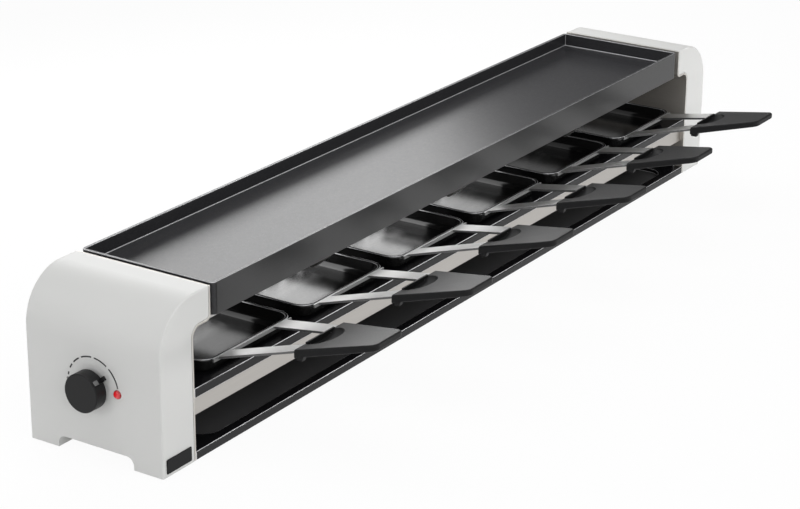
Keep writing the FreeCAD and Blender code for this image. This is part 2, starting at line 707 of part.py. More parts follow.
def rear_panel():
    body = new_body("rear_panel")
    low = "(base_top + rear_clear)"
    high = "(shoulder_height - liner_wall - rear_clear)"
    sketch = sketch_on(body, "XY_Plane", low)
    draw_outline(sketch, [
        (f"-{leg_lining}", rear_face + " + rear_wall"),
        (f"-{leg_lining}", rear_face + " - rear_flange"),
        (f"-{leg_lining} + rear_wall", rear_face + " - rear_flange"),
        (f"-{leg_lining} + rear_wall", rear_face),
        (f"{leg_lining} - rear_wall", rear_face),
        (f"{leg_lining} - rear_wall", rear_face + " - rear_flange"),
        (leg_lining, rear_face + " - rear_flange"),
        (leg_lining, rear_face + " + rear_wall"),
    ])
    pad(body, sketch, f"{high} - {low}")
    # the top corners clear the lining's inner bend
    corners = sketch_on(body, "XZ_Plane")
    bend = "(shoulder_hollow - liner_wall)"
    for side in (-1, 1):
        draw_outline(corners, [
            (f"{side} * ({leg_lining} + rear_wall)", f"{high} + rear_wall"),
            (f"{side} * ({leg_lining} - {bend})", f"{high} + rear_wall"),
            (f"{side} * ({leg_lining} - {bend})", high),
            (f"{side} * {leg_lining}", f"{high} - {bend}"),
            (f"{side} * ({leg_lining} + rear_wall)", f"{high} - {bend}"),
        ])
    pocket(body, corners, "2 * body_depth", side="Symmetric")
    holes = sketch_on(body, "YZ_Plane")
    for place in rear_rivets:
        draw_circle(holes, place, hole_radius)
    pocket(body, holes, "2 * body_length", side="Symmetric")
    vent = sketch_on(body, "XZ_Plane", f"-{rear_face}")
    start = "-(vent_count - 1) / 2 * vent_pitch"
    draw_box(vent, (f"{start} - vent_width / 2", "vent_place - vent_height / 2"),
             (f"{start} + vent_width / 2", "vent_place + vent_height / 2"))
    slot = pocket(body, vent, "4 * rear_wall", side="Symmetric")
    row = body.newObject("PartDesign::LinearPattern", "rear_panel_vents")
    row.Originals = [slot]
    row.Direction = (vent, ["H_Axis"])
    bind(row, "Length", "(vent_count - 1) * vent_pitch")
    bind(row, "Occurrences", "vent_count")
    body.Tip = row
    return body


def pan_shelf():
    body = new_body("pan_shelf")
    sketch = sketch_on(body, "YZ_Plane", f"-{leg_lining}")
    draw_outline(sketch, [
        (f"-{half_depth}", "shelf_height - shelf_lip"),
        (f"-{half_depth}", "shelf_height"),
        (rear_face, "shelf_height"),
        (rear_face, shelf_under),
        (f"-{half_depth} + shelf_wall", shelf_under),
        (f"-{half_depth} + shelf_wall", "shelf_height - shelf_lip"),
    ])
    pad(body, sketch, f"2 * {leg_lining}")

    def fold(edge):
        middle = edge.CenterOfMass
        return runs_along(edge, "x") and near(middle.y, -size("body_depth") / 2) and \
            near(middle.z, size("shelf_height"))

    round_edges(body, "shelf_bend", fold)
    # the rear corners clear the end flanges of the rear panel
    corners = sketch_on(body, "XY_Plane", "shelf_height")
    for side in (-1, 1):
        draw_box(corners,
                 (f"{side} * ({leg_lining} - rear_wall)", f"{rear_face} - rear_flange"),
                 (f"{side} * ({leg_lining} + rear_wall)", f"{rear_face} + rear_wall"))
    pocket(body, corners, "2 * shelf_wall", side="Symmetric")
    return body


def heat_shield():
    # open-topped tray of bright sheet under the shelf
    front = f"-({half_depth} - shield_setback)"
    back = f"({rear_face} - rear_flange)"
    outer = block((f"-{leg_lining}", front, "shield_bottom"), (leg_lining, back, shelf_under))
    inner = block((f"-{leg_lining} + shield_wall", f"{front} + shield_wall", "shield_bottom + shield_wall"),
                  (f"{leg_lining} - shield_wall", f"{back} - shield_wall", f"{shelf_under} + shield_wall"))
    holes = []
    for side in (-1, 1):
        for offset, height in lower_screws:
            start = f"{side} * {leg_lining} - 2 * shield_wall"
            holes.append(rod((start, offset, height), hole_radius, "4 * shield_wall", "x"))
    return keep(cut(cut(outer, inner), group(holes), "heat_shield"), "heat_shield")


def base_tray():
    body = new_body("base_tray")
    sketch = sketch_on(body, "XY_Plane", "foot_rise")
    draw_box(sketch, (f"-{leg_lining}", f"-{half_depth}"), (leg_lining, rear_face))
    pad(body, sketch, "base_top - foot_rise")

    def fold(edge):
        middle = edge.CenterOfMass
        return runs_along(edge, "x") and near(middle.y, -size("body_depth") / 2) and \
            near(middle.z, size("base_top"))

    round_edges(body, "shelf_bend", fold)
    recess = sketch_on(body, "XY_Plane", "base_top")
    draw_box(recess,
             (f"-{leg_lining} + base_end_border", f"-{half_depth} + base_border"),
             (f"{leg_lining} - base_end_border", f"{rear_face} - base_border"))
    pocket(body, recess, "base_recess")
    floor = size("base_top") - size("base_recess")

    def corner(edge):
        box = edge.BoundBox
        inside = abs(edge.CenterOfMass.x) < size("body_length") / 2 - size("cap_leg_width") - 5
        return runs_along(edge, "z") and inside and near(box.ZMin, floor)

    round_edges(body, "base_corner", corner)
    # hollow underneath, deeper round the recess
    under = sketch_on(body, "XY_Plane", "foot_rise")
    draw_box(under, (f"-{leg_lining} + base_wall", f"-{half_depth} + base_wall"),
             (f"{leg_lining} - base_wall", f"{rear_face} - base_wall"))
    pocket(body, under, "base_top - base_recess - base_wall - foot_rise", reverse=True)
    border = sketch_on(body, "XY_Plane", "foot_rise")
    draw_box(border, (f"-{leg_lining} + base_wall", f"-{half_depth} + base_wall"),
             (f"{leg_lining} - base_wall", f"{rear_face} - base_wall"))
    draw_box(border,
             (f"-{leg_lining} + base_end_border - base_wall", f"-{half_depth} + base_border - base_wall"),
             (f"{leg_lining} - base_end_border + base_wall", f"{rear_face} - base_border + base_wall"))
    pocket(body, border, "base_top - base_wall - foot_rise", reverse=True)
    walls = sketch_on(body, "XY_Plane", "base_top")
    for side in (-1, 1):
        draw_box(walls,
                 (f"{side} * ({leg_lining} - base_wall)", f"-{half_depth} + base_border"),
                 (f"{side} * {leg_lining}", f"{rear_face} - rear_flange - base_wall"))
    pad(body, walls, "base_upstand")
    holes = sketch_on(body, "YZ_Plane")
    for place in tray_rivets:
        draw_circle(holes, place, hole_radius)
    pocket(body, holes, "2 * body_length", side="Symmetric")
    return body


def place_pan(body, number):
    bind(body, "Placement.Base.x", f"({number} - (pan_count + 1) / 2) * pan_pitch")


def pan_tray(number):
    # tapered bowl of thin sheet with a flat rim
    body = new_body(f"pan_{number}_tray")
    place_pan(body, number)
    top = "(shelf_height + pan_height)"
    middle = ("0", "(pan_length / 2 - pan_front)")

    def outline(sketch, offset):
        half = (f"(pan_width / 2 - ({offset}))", f"(pan_length / 2 - ({offset}))")
        draw_round_box(sketch, middle, half, f"(pan_corner - ({offset}))")
        return sketch

    foot = outline(sketch_on(body, "XY_Plane", "shelf_height"), "pan_rim + pan_draft")
    bowl = pad(body, foot, "pan_height")
    bind(bowl, "TaperAngle", "atan(pan_draft / pan_height)")
    bottom = size("shelf_height")
    round_edges(body, "pan_foot_round", lambda edge: near(edge.BoundBox.ZMax, bottom, 0.01))
    rim = sketch_on(body, "XY_Plane", f"{top} - pan_rim_depth")
    outline(rim, "0")
    outline(rim, "pan_rim + pan_wall / 2")
    pad(body, rim, "pan_rim_depth")
    # the hollow is cut upwards from the inner floor
    lining = sketch_on(body, "XY_Plane", "shelf_height + pan_wall")
    outline(lining, "pan_rim + pan_draft + pan_wall / 2")
    hollow = pocket(body, lining, "pan_height", reverse=True)
    bind(hollow, "TaperAngle", "atan(pan_draft / pan_height)")
    floor = size("shelf_height") + size("pan_wall")
    round_edges(body, "pan_foot_round - pan_wall", lambda edge: near(edge.BoundBox.ZMax, floor, 0.01))
    return body


arm_slope = "(arm_rise / (grip_front - pan_front))"


def pan_bracket(number):
    # one bent strip: a bar across the pan's front rim and two arms that rise to the handle
    body = new_body(f"pan_{number}_bracket")
    place_pan(body, number)
    rim = "(shelf_height + pan_height)"
    end = "(grip_front + arm_embed)"
    sketch = sketch_on(body, "YZ_Plane")
    draw_outline(sketch, [
        ("-pan_front", f"{rim} - bar_height"),
        ("-pan_front", rim),
        (f"-{end}", f"{rim} + {arm_slope} * ({end} - pan_front)"),
        (f"-{end}", f"{rim} + {arm_slope} * ({end} - pan_front) - strip_thickness"),
        ("-pan_front - strip_thickness", f"{rim} + {arm_slope} * strip_thickness - strip_thickness"),
        ("-pan_front - strip_thickness", f"{rim} - bar_height"),
    ])
    pad(body, sketch, "bar_width", side="Symmetric")
    root = "(pan_front + strip_thickness)"
    taper = "((arm_root_spread - arm_grip_spread) / 2 / (grip_front - pan_front))"
    far = "(grip_front + arm_embed + strip_width)"
    plan = sketch_on(body, "XY_Plane", rim)
    tip = f"(arm_root_spread / 2 - {taper} * ({far} - pan_front))"
    draw_outline(plan, [
        ("-(arm_root_spread / 2 - strip_width)", f"-{root}"),
        ("arm_root_spread / 2 - strip_width", f"-{root}"),
        (f"{tip} - strip_width", f"-{far}"),
        (f"-({tip} - strip_width)", f"-{far}"),
    ])
    for side in (-1, 1):
        draw_outline(plan, [
            (f"{side} * arm_root_spread / 2", f"-{root}"),
            (f"{side} * bar_width", f"-{root}"),
            (f"{side} * bar_width", f"-{far}"),
            (f"{side} * {tip}", f"-{far}"),
        ])
    pocket(body, plan, "4 * arm_rise", side="Symmetric")
    # inside the handle the arms are narrow, clear of the thumb hollow
    tongues = sketch_on(body, "XY_Plane", rim)
    draw_box(tongues, ("-(arm_grip_spread / 2 - tongue_width)", "-grip_front - rib_wall"),
             ("arm_grip_spread / 2 - tongue_width", f"-{far}"))
    pocket(body, tongues, "4 * arm_rise", side="Symmetric")
    low = size("shelf_height") + size("pan_height") - size("bar_height")
    round_edges(body, "bar_height / 3", lambda edge: runs_along(edge, "y") and near(edge.CenterOfMass.z, low))
    return body


def pan_handle(number, bracket):
    # paddle handle moulded round the ends of the arms
    label = f"pan_{number}_handle"
    body = doc.addObject("PartDesign::Body", label + "_moulding")
    place_pan(body, number)
    rear_top = "(shelf_height + pan_height + arm_rise + grip_cover)"
    tip_y = "(grip_front + grip_length)"
    sketch = sketch_on(body, "YZ_Plane")
    draw_outline(sketch, [
        ("-grip_front", rear_top),
        (f"-{tip_y}", f"{rear_top} + grip_rise"),
        (f"-{tip_y}", f"{rear_top} + grip_rise - grip_tip_thickness"),
        ("-grip_front", f"{rear_top} - grip_thickness"),
    ])
    pad(body, sketch, "grip_rear_width", side="Symmetric")
    plan = sketch_on(body, "XY_Plane", rear_top)
    for side in (-1, 1):
        draw_outline(plan, [
            (f"{side} * grip_rear_width / 2", "-grip_front"),
            (f"{side} * grip_tip_width / 2", f"-{tip_y}"),
            (f"{side} * grip_rear_width", f"-{tip_y} - grip_corner"),
            (f"{side} * grip_rear_width", "-grip_front"),
        ])
    pocket(body, plan, "4 * grip_rise", side="Symmetric")
    tip = -(size("grip_front") + size("grip_length"))

    def tip_corner(edge):
        return runs_along(edge, "z") and near(edge.CenterOfMass.y, tip)

    round_edges(body, "grip_corner", tip_corner)

    def long_edge(edge):
        middle = edge.CenterOfMass
        return not runs_along(edge, "z") and middle.y < -size("grip_front") - 0.5

    round_edges(body, "grip_edge", long_edge)
    # thumb hollow with a thin rib behind it
    scoop = body.newObject("PartDesign::SubtractiveEllipsoid", label + "_scoop")
    bind(scoop, "Radius1", "scoop_depth * 2")
    bind(scoop, "Radius2", "scoop_width / 2 / sqrt(0.75)")
    bind(scoop, "Radius3", "scoop_reach / sqrt(0.75)")
    bind(scoop, "Placement.Base.y", "-(grip_front + rib_wall)")
    bind(scoop, "Placement.Base.z", f"{rear_top} + scoop_depth")
    rib = sketch_on(body, "XY_Plane", f"{rear_top} - scoop_depth")
    draw_box(rib, ("-scoop_width / 2", "-grip_front - rib_wall"), ("scoop_width / 2", "-grip_front"))
    pad(body, rib, "scoop_depth + rib_rise")
    lugs = sketch_on(body, "YZ_Plane", "-(grip_rear_width / 2 - lug_inset)")
    lug = [
        ("-grip_front - lug_start", f"{rear_top} - grip_thickness / 2"),
        ("-grip_front - lug_start", f"{rear_top} - grip_thickness - lug_depth"),
        ("-grip_front - lug_start - lug_length", f"{rear_top} - grip_thickness - lug_depth"),
        ("-grip_front - lug_start - lug_length * 1.3", f"{rear_top} - grip_thickness / 2"),
    ]
    draw_outline(lugs, lug)
    pad(body, lugs, "lug_width")
    other = sketch_on(body, "YZ_Plane", "grip_rear_width / 2 - lug_inset")
    draw_outline(other, lug)
    pad(body, other, "lug_width", reverse=True)
    return keep(cut(body, bracket, label), label)


def heating_element():
    runs = []
    for step, left, right in ((-1.5, "element_left", "element_right_bend"),
                              (-0.5, "element_left_bend", "element_right_bend"),
                              (0.5, "element_left_bend", "element_right_bend"),
                              (1.5, "element_left", "element_right_bend")):
        runs.append(rod((f"-{left}", f"{step} * element_pitch", "element_height"),
                        "element_radius", f"{left} + {right}", "x"))
    for step, x, turn in ((-1, "element_right_bend", -90), (1, "element_right_bend", -90),
                          (0, "-element_left_bend", 90)):
        bend = doc.addObject("Part::Torus", "bend")
        bend.Placement = FreeCAD.Placement(FreeCAD.Vector(), FreeCAD.Rotation(FreeCAD.Vector(0, 0, 1), turn))
        bend.Angle3 = 180
        bind(bend, "Radius1", "element_pitch / 2")
        bind(bend, "Radius2", "element_radius")
        place_at(bend, x, f"{step} * element_pitch", "element_height")
        runs.append(bend)
    return keep(fuse(runs, "heating_element"), "heating_element")


def element_straps():
    # each strap hangs from both rails and passes under the four runs
    straps = []
    under = "(element_height - element_radius - strap_gap)"
    wide = "(element_pitch * 1.5 + element_radius)"
    face = f"({rail_face} - rail_wall)"
    top = f"({rail_top} - rail_wall)"
    for step in (-1, 0, 1):
        body = doc.addObject("PartDesign::Body", "strap")
        sketch = sketch_on(body, "YZ_Plane", f"{step} * strap_pitch")
        outer = [(face, top), (face, rail_bottom), (f"{wide} + strap_wall / 2", f"{under} - strap_wall")]
        inner = [(f"{face} - strap_wall", top), (f"{face} - strap_wall", f"{rail_bottom} + strap_wall / 2"),
                 (wide, under)]
        ring = [(f"-({y})", z) for y, z in outer]
        ring += list(reversed(outer))
        ring += inner
        ring += [(f"-({y})", z) for y, z in reversed(inner)]
        draw_outline(sketch, ring)
        pad(body, sketch, "strap_width", side="Symmetric")
        straps.append(body)
    return keep(group(straps, "element_straps"), "element_straps")


def element_bushings():
    rings = []
    for offset, height in bushing_places:
        sleeve = rod((f"-{leg_lining} + bushing_wall - bushing_length", offset, height),
                     "bushing_radius", "bushing_length", "x")
        flange = rod((f"-{leg_lining}", offset, height), "bushing_flange", "bushing_wall", "x")
        bore = rod((f"-{leg_lining} - 2 * bushing_length", offset, height),
                   "element_radius + bushing_play", "4 * bushing_length", "x")
        rings.append(cut(fuse([sleeve, flange]), bore))
    return keep(group(rings, "element_bushings"), "element_bushings")


def element_terminals():
    pins = []
    for offset, height in bushing_places:
        pins.append(rod(("-element_left - terminal_length", offset, height),
                        "terminal_radius", "terminal_length", "x"))
    return keep(group(pins, "element_terminals"), "element_terminals")


def fastener(x, side, offset, height, head_radius, head, length):
    # a head towards the middle and a shank towards the cap, along X
    shank_x = f"{x} - {head}" if side > 0 else f"-({x}) - {length}"
    head_x = f"{x} - {head}" if side > 0 else f"-({x})"
    shank = rod((shank_x, offset, height), "screw_radius", f"{head} + {length}", "x")
    cap = rod((head_x, offset, height), head_radius, head, "x")
    return fuse([shank, cap])


def cap_screws():
    screws = []
    for side in (-1, 1):
        for offset, height in upper_screws:
            screws.append(fastener(f"{top_lining} - rail_wall", side, offset, height,
                                   "screw_head_radius", "screw_head", "screw_length"))
        for offset, height in lower_screws:
            screws.append(fastener(f"{leg_lining} - shield_wall", side, offset, height,
                                   "screw_head_radius", "screw_head", "screw_length"))
    return keep(group(screws, "cap_screws"), "cap_screws")


def frame_rivets():
    rivets = []
    for side in (-1, 1):
        for places, wall in ((rear_rivets, "rear_wall"), (tray_rivets, "base_wall")):
            for offset, height in places:
                rivets.append(fastener(f"{leg_lining} - {wall}", side, offset, height, "rivet_head_radius",
                                       "rivet_head", f"({wall} + liner_wall + rivet_tail)"))
    return keep(group(rivets, "frame_rivets"), "frame_rivets")


def rubber_feet():
    pads = []
    for side in (-1, 1):
        for end in (-1, 1):
            pads.append(rod((f"{side} * ({half_length} - foot_pad_side)",
                             f"{end} * ({half_depth} - foot_pad_inset)", "0"),
                            "foot_pad_radius", "foot_rise + foot_pad_seat", "z"))
    # a middle pad keeps the long base tray from sagging
    pads.append(rod(("0", "0", "0"), "foot_pad_radius", "base_top - base_recess - base_wall", "z"))
    return keep(group(pads, "rubber_feet"), "rubber_feet")


def pointer_outline(sketch, inner, outer, width):
    # a box that points outwards from the dial's axis at the photographed setting
    across = "cos(knob_angle)"
    along = "sin(knob_angle)"
    corners = []
    for reach, shift in ((inner, -1), (outer, -1), (outer, 1), (inner, 1)):
        half = f"{shift} * ({width}) / 2"
        corners.append((f"-({reach}) * {along} + {half} * {across}",
                        f"dial_height + ({reach}) * {across} + {half} * {along}"))
    draw_outline(sketch, corners)


def control_knob():
    body = new_body("control_knob")
    back = f"-{knob_back}"
    disc = sketch_on(body, "YZ_Plane", back)
    draw_circle(disc, ("0", "dial_height"), "knob_radius")
    pad(body, disc, "knob_length", reverse=True)
    face_x = -(size("body_length") / 2 + size("knob_gap") + size("knob_length"))
    round_edges(body, "knob_edge", lambda edge: near(edge.CenterOfMass.x, face_x))
    hollow = sketch_on(body, "YZ_Plane", back)
    draw_circle(hollow, ("0", "dial_height"), "knob_hollow_radius")
    draw_circle(hollow, ("0", "dial_height"), "knob_hub_radius")
    pocket(body, hollow, "knob_hollow")
    hub = sketch_on(body, "YZ_Plane", back)
    draw_circle(hub, ("0", "dial_height"), "knob_hub_radius")
    pad(body, hub, "knob_hub_reach")
    # a rib along the side ends in a tab at the knob's foot
    inner = "(knob_hollow_radius + knob_radius) / 2"
    rib = sketch_on(body, "YZ_Plane", back)
    pointer_outline(rib, inner, "knob_radius + pointer_rise", "pointer_width")
    pad(body, rib, "knob_length - knob_edge", reverse=True)
    tab = sketch_on(body, "YZ_Plane", back)
    pointer_outline(tab, inner, "knob_radius + pointer_reach", "pointer_width")
    pad(body, tab, "pointer_height", reverse=True)
    bore = sketch_on(body, "YZ_Plane", f"{back} + knob_hub_reach")
    draw_circle(bore, ("0", "dial_height"), "shaft_radius + shaft_play")
    pocket(body, bore, "knob_hub_reach + shaft_engage + shaft_play")
    return body


def knob_mark():
    # light strip on the rib, next to the knob's face
    body = new_body("knob_mark")
    strip = sketch_on(body, "YZ_Plane", f"-({knob_back} + knob_length - knob_edge - mark_length)")
    pointer_outline(strip, "knob_radius + pointer_rise", "knob_radius + pointer_rise + mark_height",
                    "pointer_width")
    pad(body, strip, "mark_length", reverse=True)
    return body


def thermostat():
    inner_wall = f"({half_length} - cap_wall)"
    plate = block((f"-{inner_wall}", "-thermostat_plate_width / 2",
                   "dial_height - thermostat_plate_height / 2"),
                  (f"-{inner_wall} + thermostat_plate", "thermostat_plate_width / 2",
                   "dial_height + thermostat_plate_height / 2"))
    drill_x = f"-{half_length} - cap_wall"
    plate_holes = [rod((drill_x, "0", "dial_height"), "shaft_hole", "6 * cap_wall", "x")]
    for end in (-1, 1):
        plate_holes.append(rod((drill_x, f"{end} * thermostat_screw_offset", "dial_height"),
                               hole_radius, "6 * cap_wall", "x"))
    keep(cut(plate, group(plate_holes), "thermostat_plate"), "thermostat_plate")

    start = f"-{inner_wall} + thermostat_plate"
    housing = block((start, "-thermostat_width / 2", "dial_height - thermostat_height / 2"),
                    (f"{start} + thermostat_length", "thermostat_width / 2",
                     "dial_height + thermostat_height / 2"))
    bores = [rod((start + " - cap_wall", "0", "dial_height"), "shaft_radius + shaft_play",
                 "thermostat_length / 2 + cap_wall + shaft_play", "x")]
    for end in (-1, 1):
        bores.append(rod((start + " - cap_wall", f"{end} * thermostat_screw_offset", "dial_height"),
                         hole_radius, "screw_length", "x"))
    keep(cut(housing, group(bores), "thermostat"), "thermostat")

    shaft_end = f"({knob_back} + shaft_engage)"
    keep(rod((f"-{shaft_end}", "0", "dial_height"), "shaft_radius",
             f"{shaft_end} - {inner_wall} + thermostat_plate + thermostat_length / 2", "x",
             "thermostat_shaft"), "thermostat_shaft")

    screws = []
    for end in (-1, 1):
        place = (f"{end} * thermostat_screw_offset", "dial_height")
        shank = rod((f"-{half_length}", *place), "screw_radius", "screw_length", "x")
        head = rod((f"-{half_length} - screw_head", *place), "screw_head_radius", "screw_head", "x")
        screws.append(fuse([shank, head]))
    keep(group(screws, "thermostat_screws"), "thermostat_screws")


def lamp():
    place = ("-lamp_offset", "dial_height")
    lens = new_body("lamp_lens")
    outer = f"-({half_length} + lamp_proud)"
    sketch = sketch_on(lens, "YZ_Plane", outer)
    draw_circle(sketch, place, "lamp_radius")
    pad(lens, sketch, "lamp_proud + cap_wall + lamp_insert")
    outer_x = -(size("body_length") / 2 + size("lamp_proud"))
    round_edges(lens, "lamp_proud - lamp_play", lambda edge: near(edge.CenterOfMass.x, outer_x))
    start = f"-({half_length} - cap_wall)"
    holder = rod((start, *place), "lamp_body_radius", "lamp_body_length", "x")
    seat = rod((f"{start} - cap_wall", *place), "lamp_radius + lamp_play",
               "cap_wall + lamp_insert + lamp_play", "x")
    keep(cut(holder, seat, "lamp_holder"), "lamp_holder")


def terminal_block():
    middle = f"-({half_length} - block_side)"
    housing = block((f"{middle} - block_width / 2", "-block_length / 2", cap_floor),
                    (f"{middle} + block_width / 2", "block_length / 2", f"{cap_floor} + block_height"))
    top = f"{cap_floor} + block_height"
    holes = []
    screws = []
    for step in (-1, 0, 1):
        y = f"{step} * clamp_pitch"
        holes.append(rod((middle, y, f"{top} - clamp_depth"), "clamp_radius + screw_play",
                         "2 * clamp_depth", "z"))
        holes.append(rod((f"{middle} - block_width", y, f"{cap_floor} + block_height / 3"), "screw_radius",
                         "2 * block_width", "x"))
        screws.append(rod((middle, y, f"{top} - clamp_depth"), "clamp_radius",
                          "clamp_depth + clamp_proud", "z"))
    keep(cut(housing, group(holes), "terminal_block"), "terminal_block")
    keep(group(screws, "terminal_screws"), "terminal_screws")


def power_inlet():
    middle = f"-({half_length} - inlet_side)"
    body = new_body("power_inlet")

    def face(width, height, offset):
        sketch = sketch_on(body, "XZ_Plane", offset)
        draw_box(sketch, (f"{middle} - {width} / 2", f"inlet_height - {height} / 2"),
                 (f"{middle} + {width} / 2", f"inlet_height + {height} / 2"))
        return sketch

    flange = face("inlet_flange_width", "inlet_flange_height", f"-{half_depth}")
    pad(body, flange, "inlet_flange", reverse=True)
    round_edges(body, "2 * cap_edge", lambda edge: runs_along(edge, "y"))
    pad(body, face("inlet_body_width", "inlet_body_height", f"-{half_depth}"), "inlet_body_depth")
    mouth = face("inlet_mouth_width", "inlet_mouth_height", f"-({half_depth} + inlet_flange)")
    pocket(body, mouth, "inlet_mouth_depth", reverse=True)
    outer_y = size("body_depth") / 2 + size("inlet_flange")

    def mouth_corner(edge):
        inside = size("inlet_mouth_width") / 2 + 0.1
        shift = abs(edge.CenterOfMass.x + size("body_length") / 2 - size("inlet_side"))
        return runs_along(edge, "y") and near(edge.BoundBox.YMax, outer_y) and shift < inside

    round_edges(body, "cap_edge", mouth_corner)
    floor = f"({half_depth} + inlet_flange - inlet_mouth_depth)"
    slots = sketch_on(body, "XZ_Plane", f"-{floor}")
    blades = []
    for step, stagger in ((-1, -0.5), (0, 0.5), (1, -0.5)):
        x = f"({middle} + {stagger} * pin_stagger)"
        z = f"(inlet_height + {step} * pin_pitch)"
        draw_box(slots, (f"{x} - pin_thickness / 2", f"{z} - pin_width / 2"),
                 (f"{x} + pin_thickness / 2", f"{z} + pin_width / 2"))
        blades.append(block((f"{x} - pin_thickness / 2", f"{half_depth} - inlet_body_depth - pin_tail",
                             f"{z} - pin_width / 2"),
                            (f"{x} + pin_thickness / 2", f"{floor} + pin_length", f"{z} + pin_width / 2")))
    pocket(body, slots, "2 * inlet_body_depth", side="Symmetric")
    keep(group(blades, "inlet_pins"), "inlet_pins")


def blank_plate():
    body = new_body("blank_plate")
    middle = f"-({half_length} - badge_side)"
    sketch = sketch_on(body, "XZ_Plane", half_depth)
    draw_box(sketch, (f"{middle} - badge_width / 2", "badge_place - badge_height / 2"),
             (f"{middle} + badge_width / 2", "badge_place + badge_height / 2"))
    pad(body, sketch, "badge_thickness")
    round_edges(body, "badge_thickness", lambda edge: runs_along(edge, "y"))


# The whole grill

open_left_cap(end_cap("left_end_cap", -1))
end_cap("right_end_cap", 1)
side_panel("left_side_panel", -1)
side_panel("right_side_panel", 1)
grill_plate()
rail("front_rail", -1)
rail("rear_rail", 1)
rear_panel()
pan_shelf()
heat_shield()
base_tray()
for number in range(1, int(size("pan_count")) + 1):
    pan_tray(number)
    pan_handle(number, pan_bracket(number))
heating_element()
element_straps()
element_bushings()
element_terminals()
cap_screws()
frame_rivets()
rubber_feet()
control_knob()
knob_mark()
thermostat()
lamp()
terminal_block()
power_inlet()
blank_plate()
doc.recompute()

# Checks, then one file for each sub-part

faults = [f"{thing.Name}: {thing.State}" for thing in doc.Objects
          if "Invalid" in thing.State or "Error" in thing.State]
for name in node_names:
    shape = doc.getObject(name).Shape
    if shape.isNull() or not shape.isValid() or not shape.Solids:
        faults.append(f"{name}: bad shape")
if faults:
    raise RuntimeError("; ".join(faults))
os.makedirs("parts", exist_ok=True)
for name in node_names:
    thing = doc.getObject(name)
    thing.Shape.exportStep(f"parts/{thing.Label}.step")
    box = thing.Shape.BoundBox
    print(f"{thing.Label}: {len(thing.Shape.Solids)} solids, volume {thing.Shape.Volume:.0f}, "
          f"x {box.XMin:.1f} {box.XMax:.1f}, y {box.YMin:.1f} {box.YMax:.1f}, "
          f"z {box.ZMin:.1f} {box.ZMax:.1f}")
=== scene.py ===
import math
import bpy
from mathutils import Matrix, Vector


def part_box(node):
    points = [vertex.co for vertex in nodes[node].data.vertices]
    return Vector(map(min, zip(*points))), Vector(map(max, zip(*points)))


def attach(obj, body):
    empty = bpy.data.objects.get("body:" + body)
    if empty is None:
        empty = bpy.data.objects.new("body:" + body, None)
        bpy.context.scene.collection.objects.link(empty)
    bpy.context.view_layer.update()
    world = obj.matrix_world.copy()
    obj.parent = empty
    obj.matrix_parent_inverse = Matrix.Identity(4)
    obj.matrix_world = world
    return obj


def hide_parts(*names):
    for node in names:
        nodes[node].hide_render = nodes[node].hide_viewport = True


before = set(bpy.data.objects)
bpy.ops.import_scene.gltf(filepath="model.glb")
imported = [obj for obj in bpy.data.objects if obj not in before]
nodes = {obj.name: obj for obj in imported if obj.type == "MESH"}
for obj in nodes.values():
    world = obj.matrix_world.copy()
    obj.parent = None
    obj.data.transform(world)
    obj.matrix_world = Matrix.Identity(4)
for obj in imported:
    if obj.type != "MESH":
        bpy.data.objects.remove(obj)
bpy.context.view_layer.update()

print("frame loaded:", len(nodes), "nodes")


def deselectAll():
    if bpy.context.object and bpy.context.object.mode != "OBJECT":
        bpy.ops.object.mode_set(mode="OBJECT")
    bpy.ops.object.select_all(action="DESELECT")


def pickOnly(piece):
    deselectAll()
    piece.select_set(True)
    bpy.context.view_layer.objects.active = piece


def editMode(piece, kind="FACE"):
    pickOnly(piece)
    bpy.ops.object.mode_set(mode="EDIT")
    bpy.ops.mesh.select_mode(type=kind)


def selectFaces(piece, test):
    # marks faces by their centre and normal, and stays in edit mode
    bpy.ops.object.mode_set(mode="EDIT")
    bpy.ops.mesh.select_mode(type="FACE")
    bpy.ops.mesh.select_all(action="DESELECT")
    bpy.ops.object.mode_set(mode="OBJECT")
    for face in piece.data.polygons:
        face.select = bool(test(face.center, face.normal))
    bpy.ops.object.mode_set(mode="EDIT")


def applyModifier(piece, kind, **settings):
    pickOnly(piece)
    modifier = piece.modifiers.new(kind.lower(), kind)
    for name, value in settings.items():
        setattr(modifier, name, value)
    bpy.ops.object.modifier_apply(modifier=modifier.name)


def settle(piece, angle=30):
    # place and turn go into the mesh, and the shading breaks only at real edges
    pickOnly(piece)
    bpy.ops.object.transform_apply(location=True, rotation=True, scale=True)
    bpy.ops.object.shade_smooth_by_angle(angle=math.radians(angle))


def paintPiece(piece, material):
    piece.data.materials.clear()
    piece.data.materials.append(material)


def paintFaces(piece, material, test):
    # another finish on the faces that the test picks by centre and normal
    piece.data.materials.append(material)
    pickOnly(piece)
    selectFaces(piece, test)
    piece.active_material_index = len(piece.data.materials) - 1
    bpy.ops.object.material_slot_assign()
    bpy.ops.object.mode_set(mode="OBJECT")


softening = {
    # metres and degrees
    "mergeDistance": 1e-6,
    "flatAngle": 0.5,
    "edgeAngle": 40,
    "shadeAngle": 35,
    "segments": 2,
}


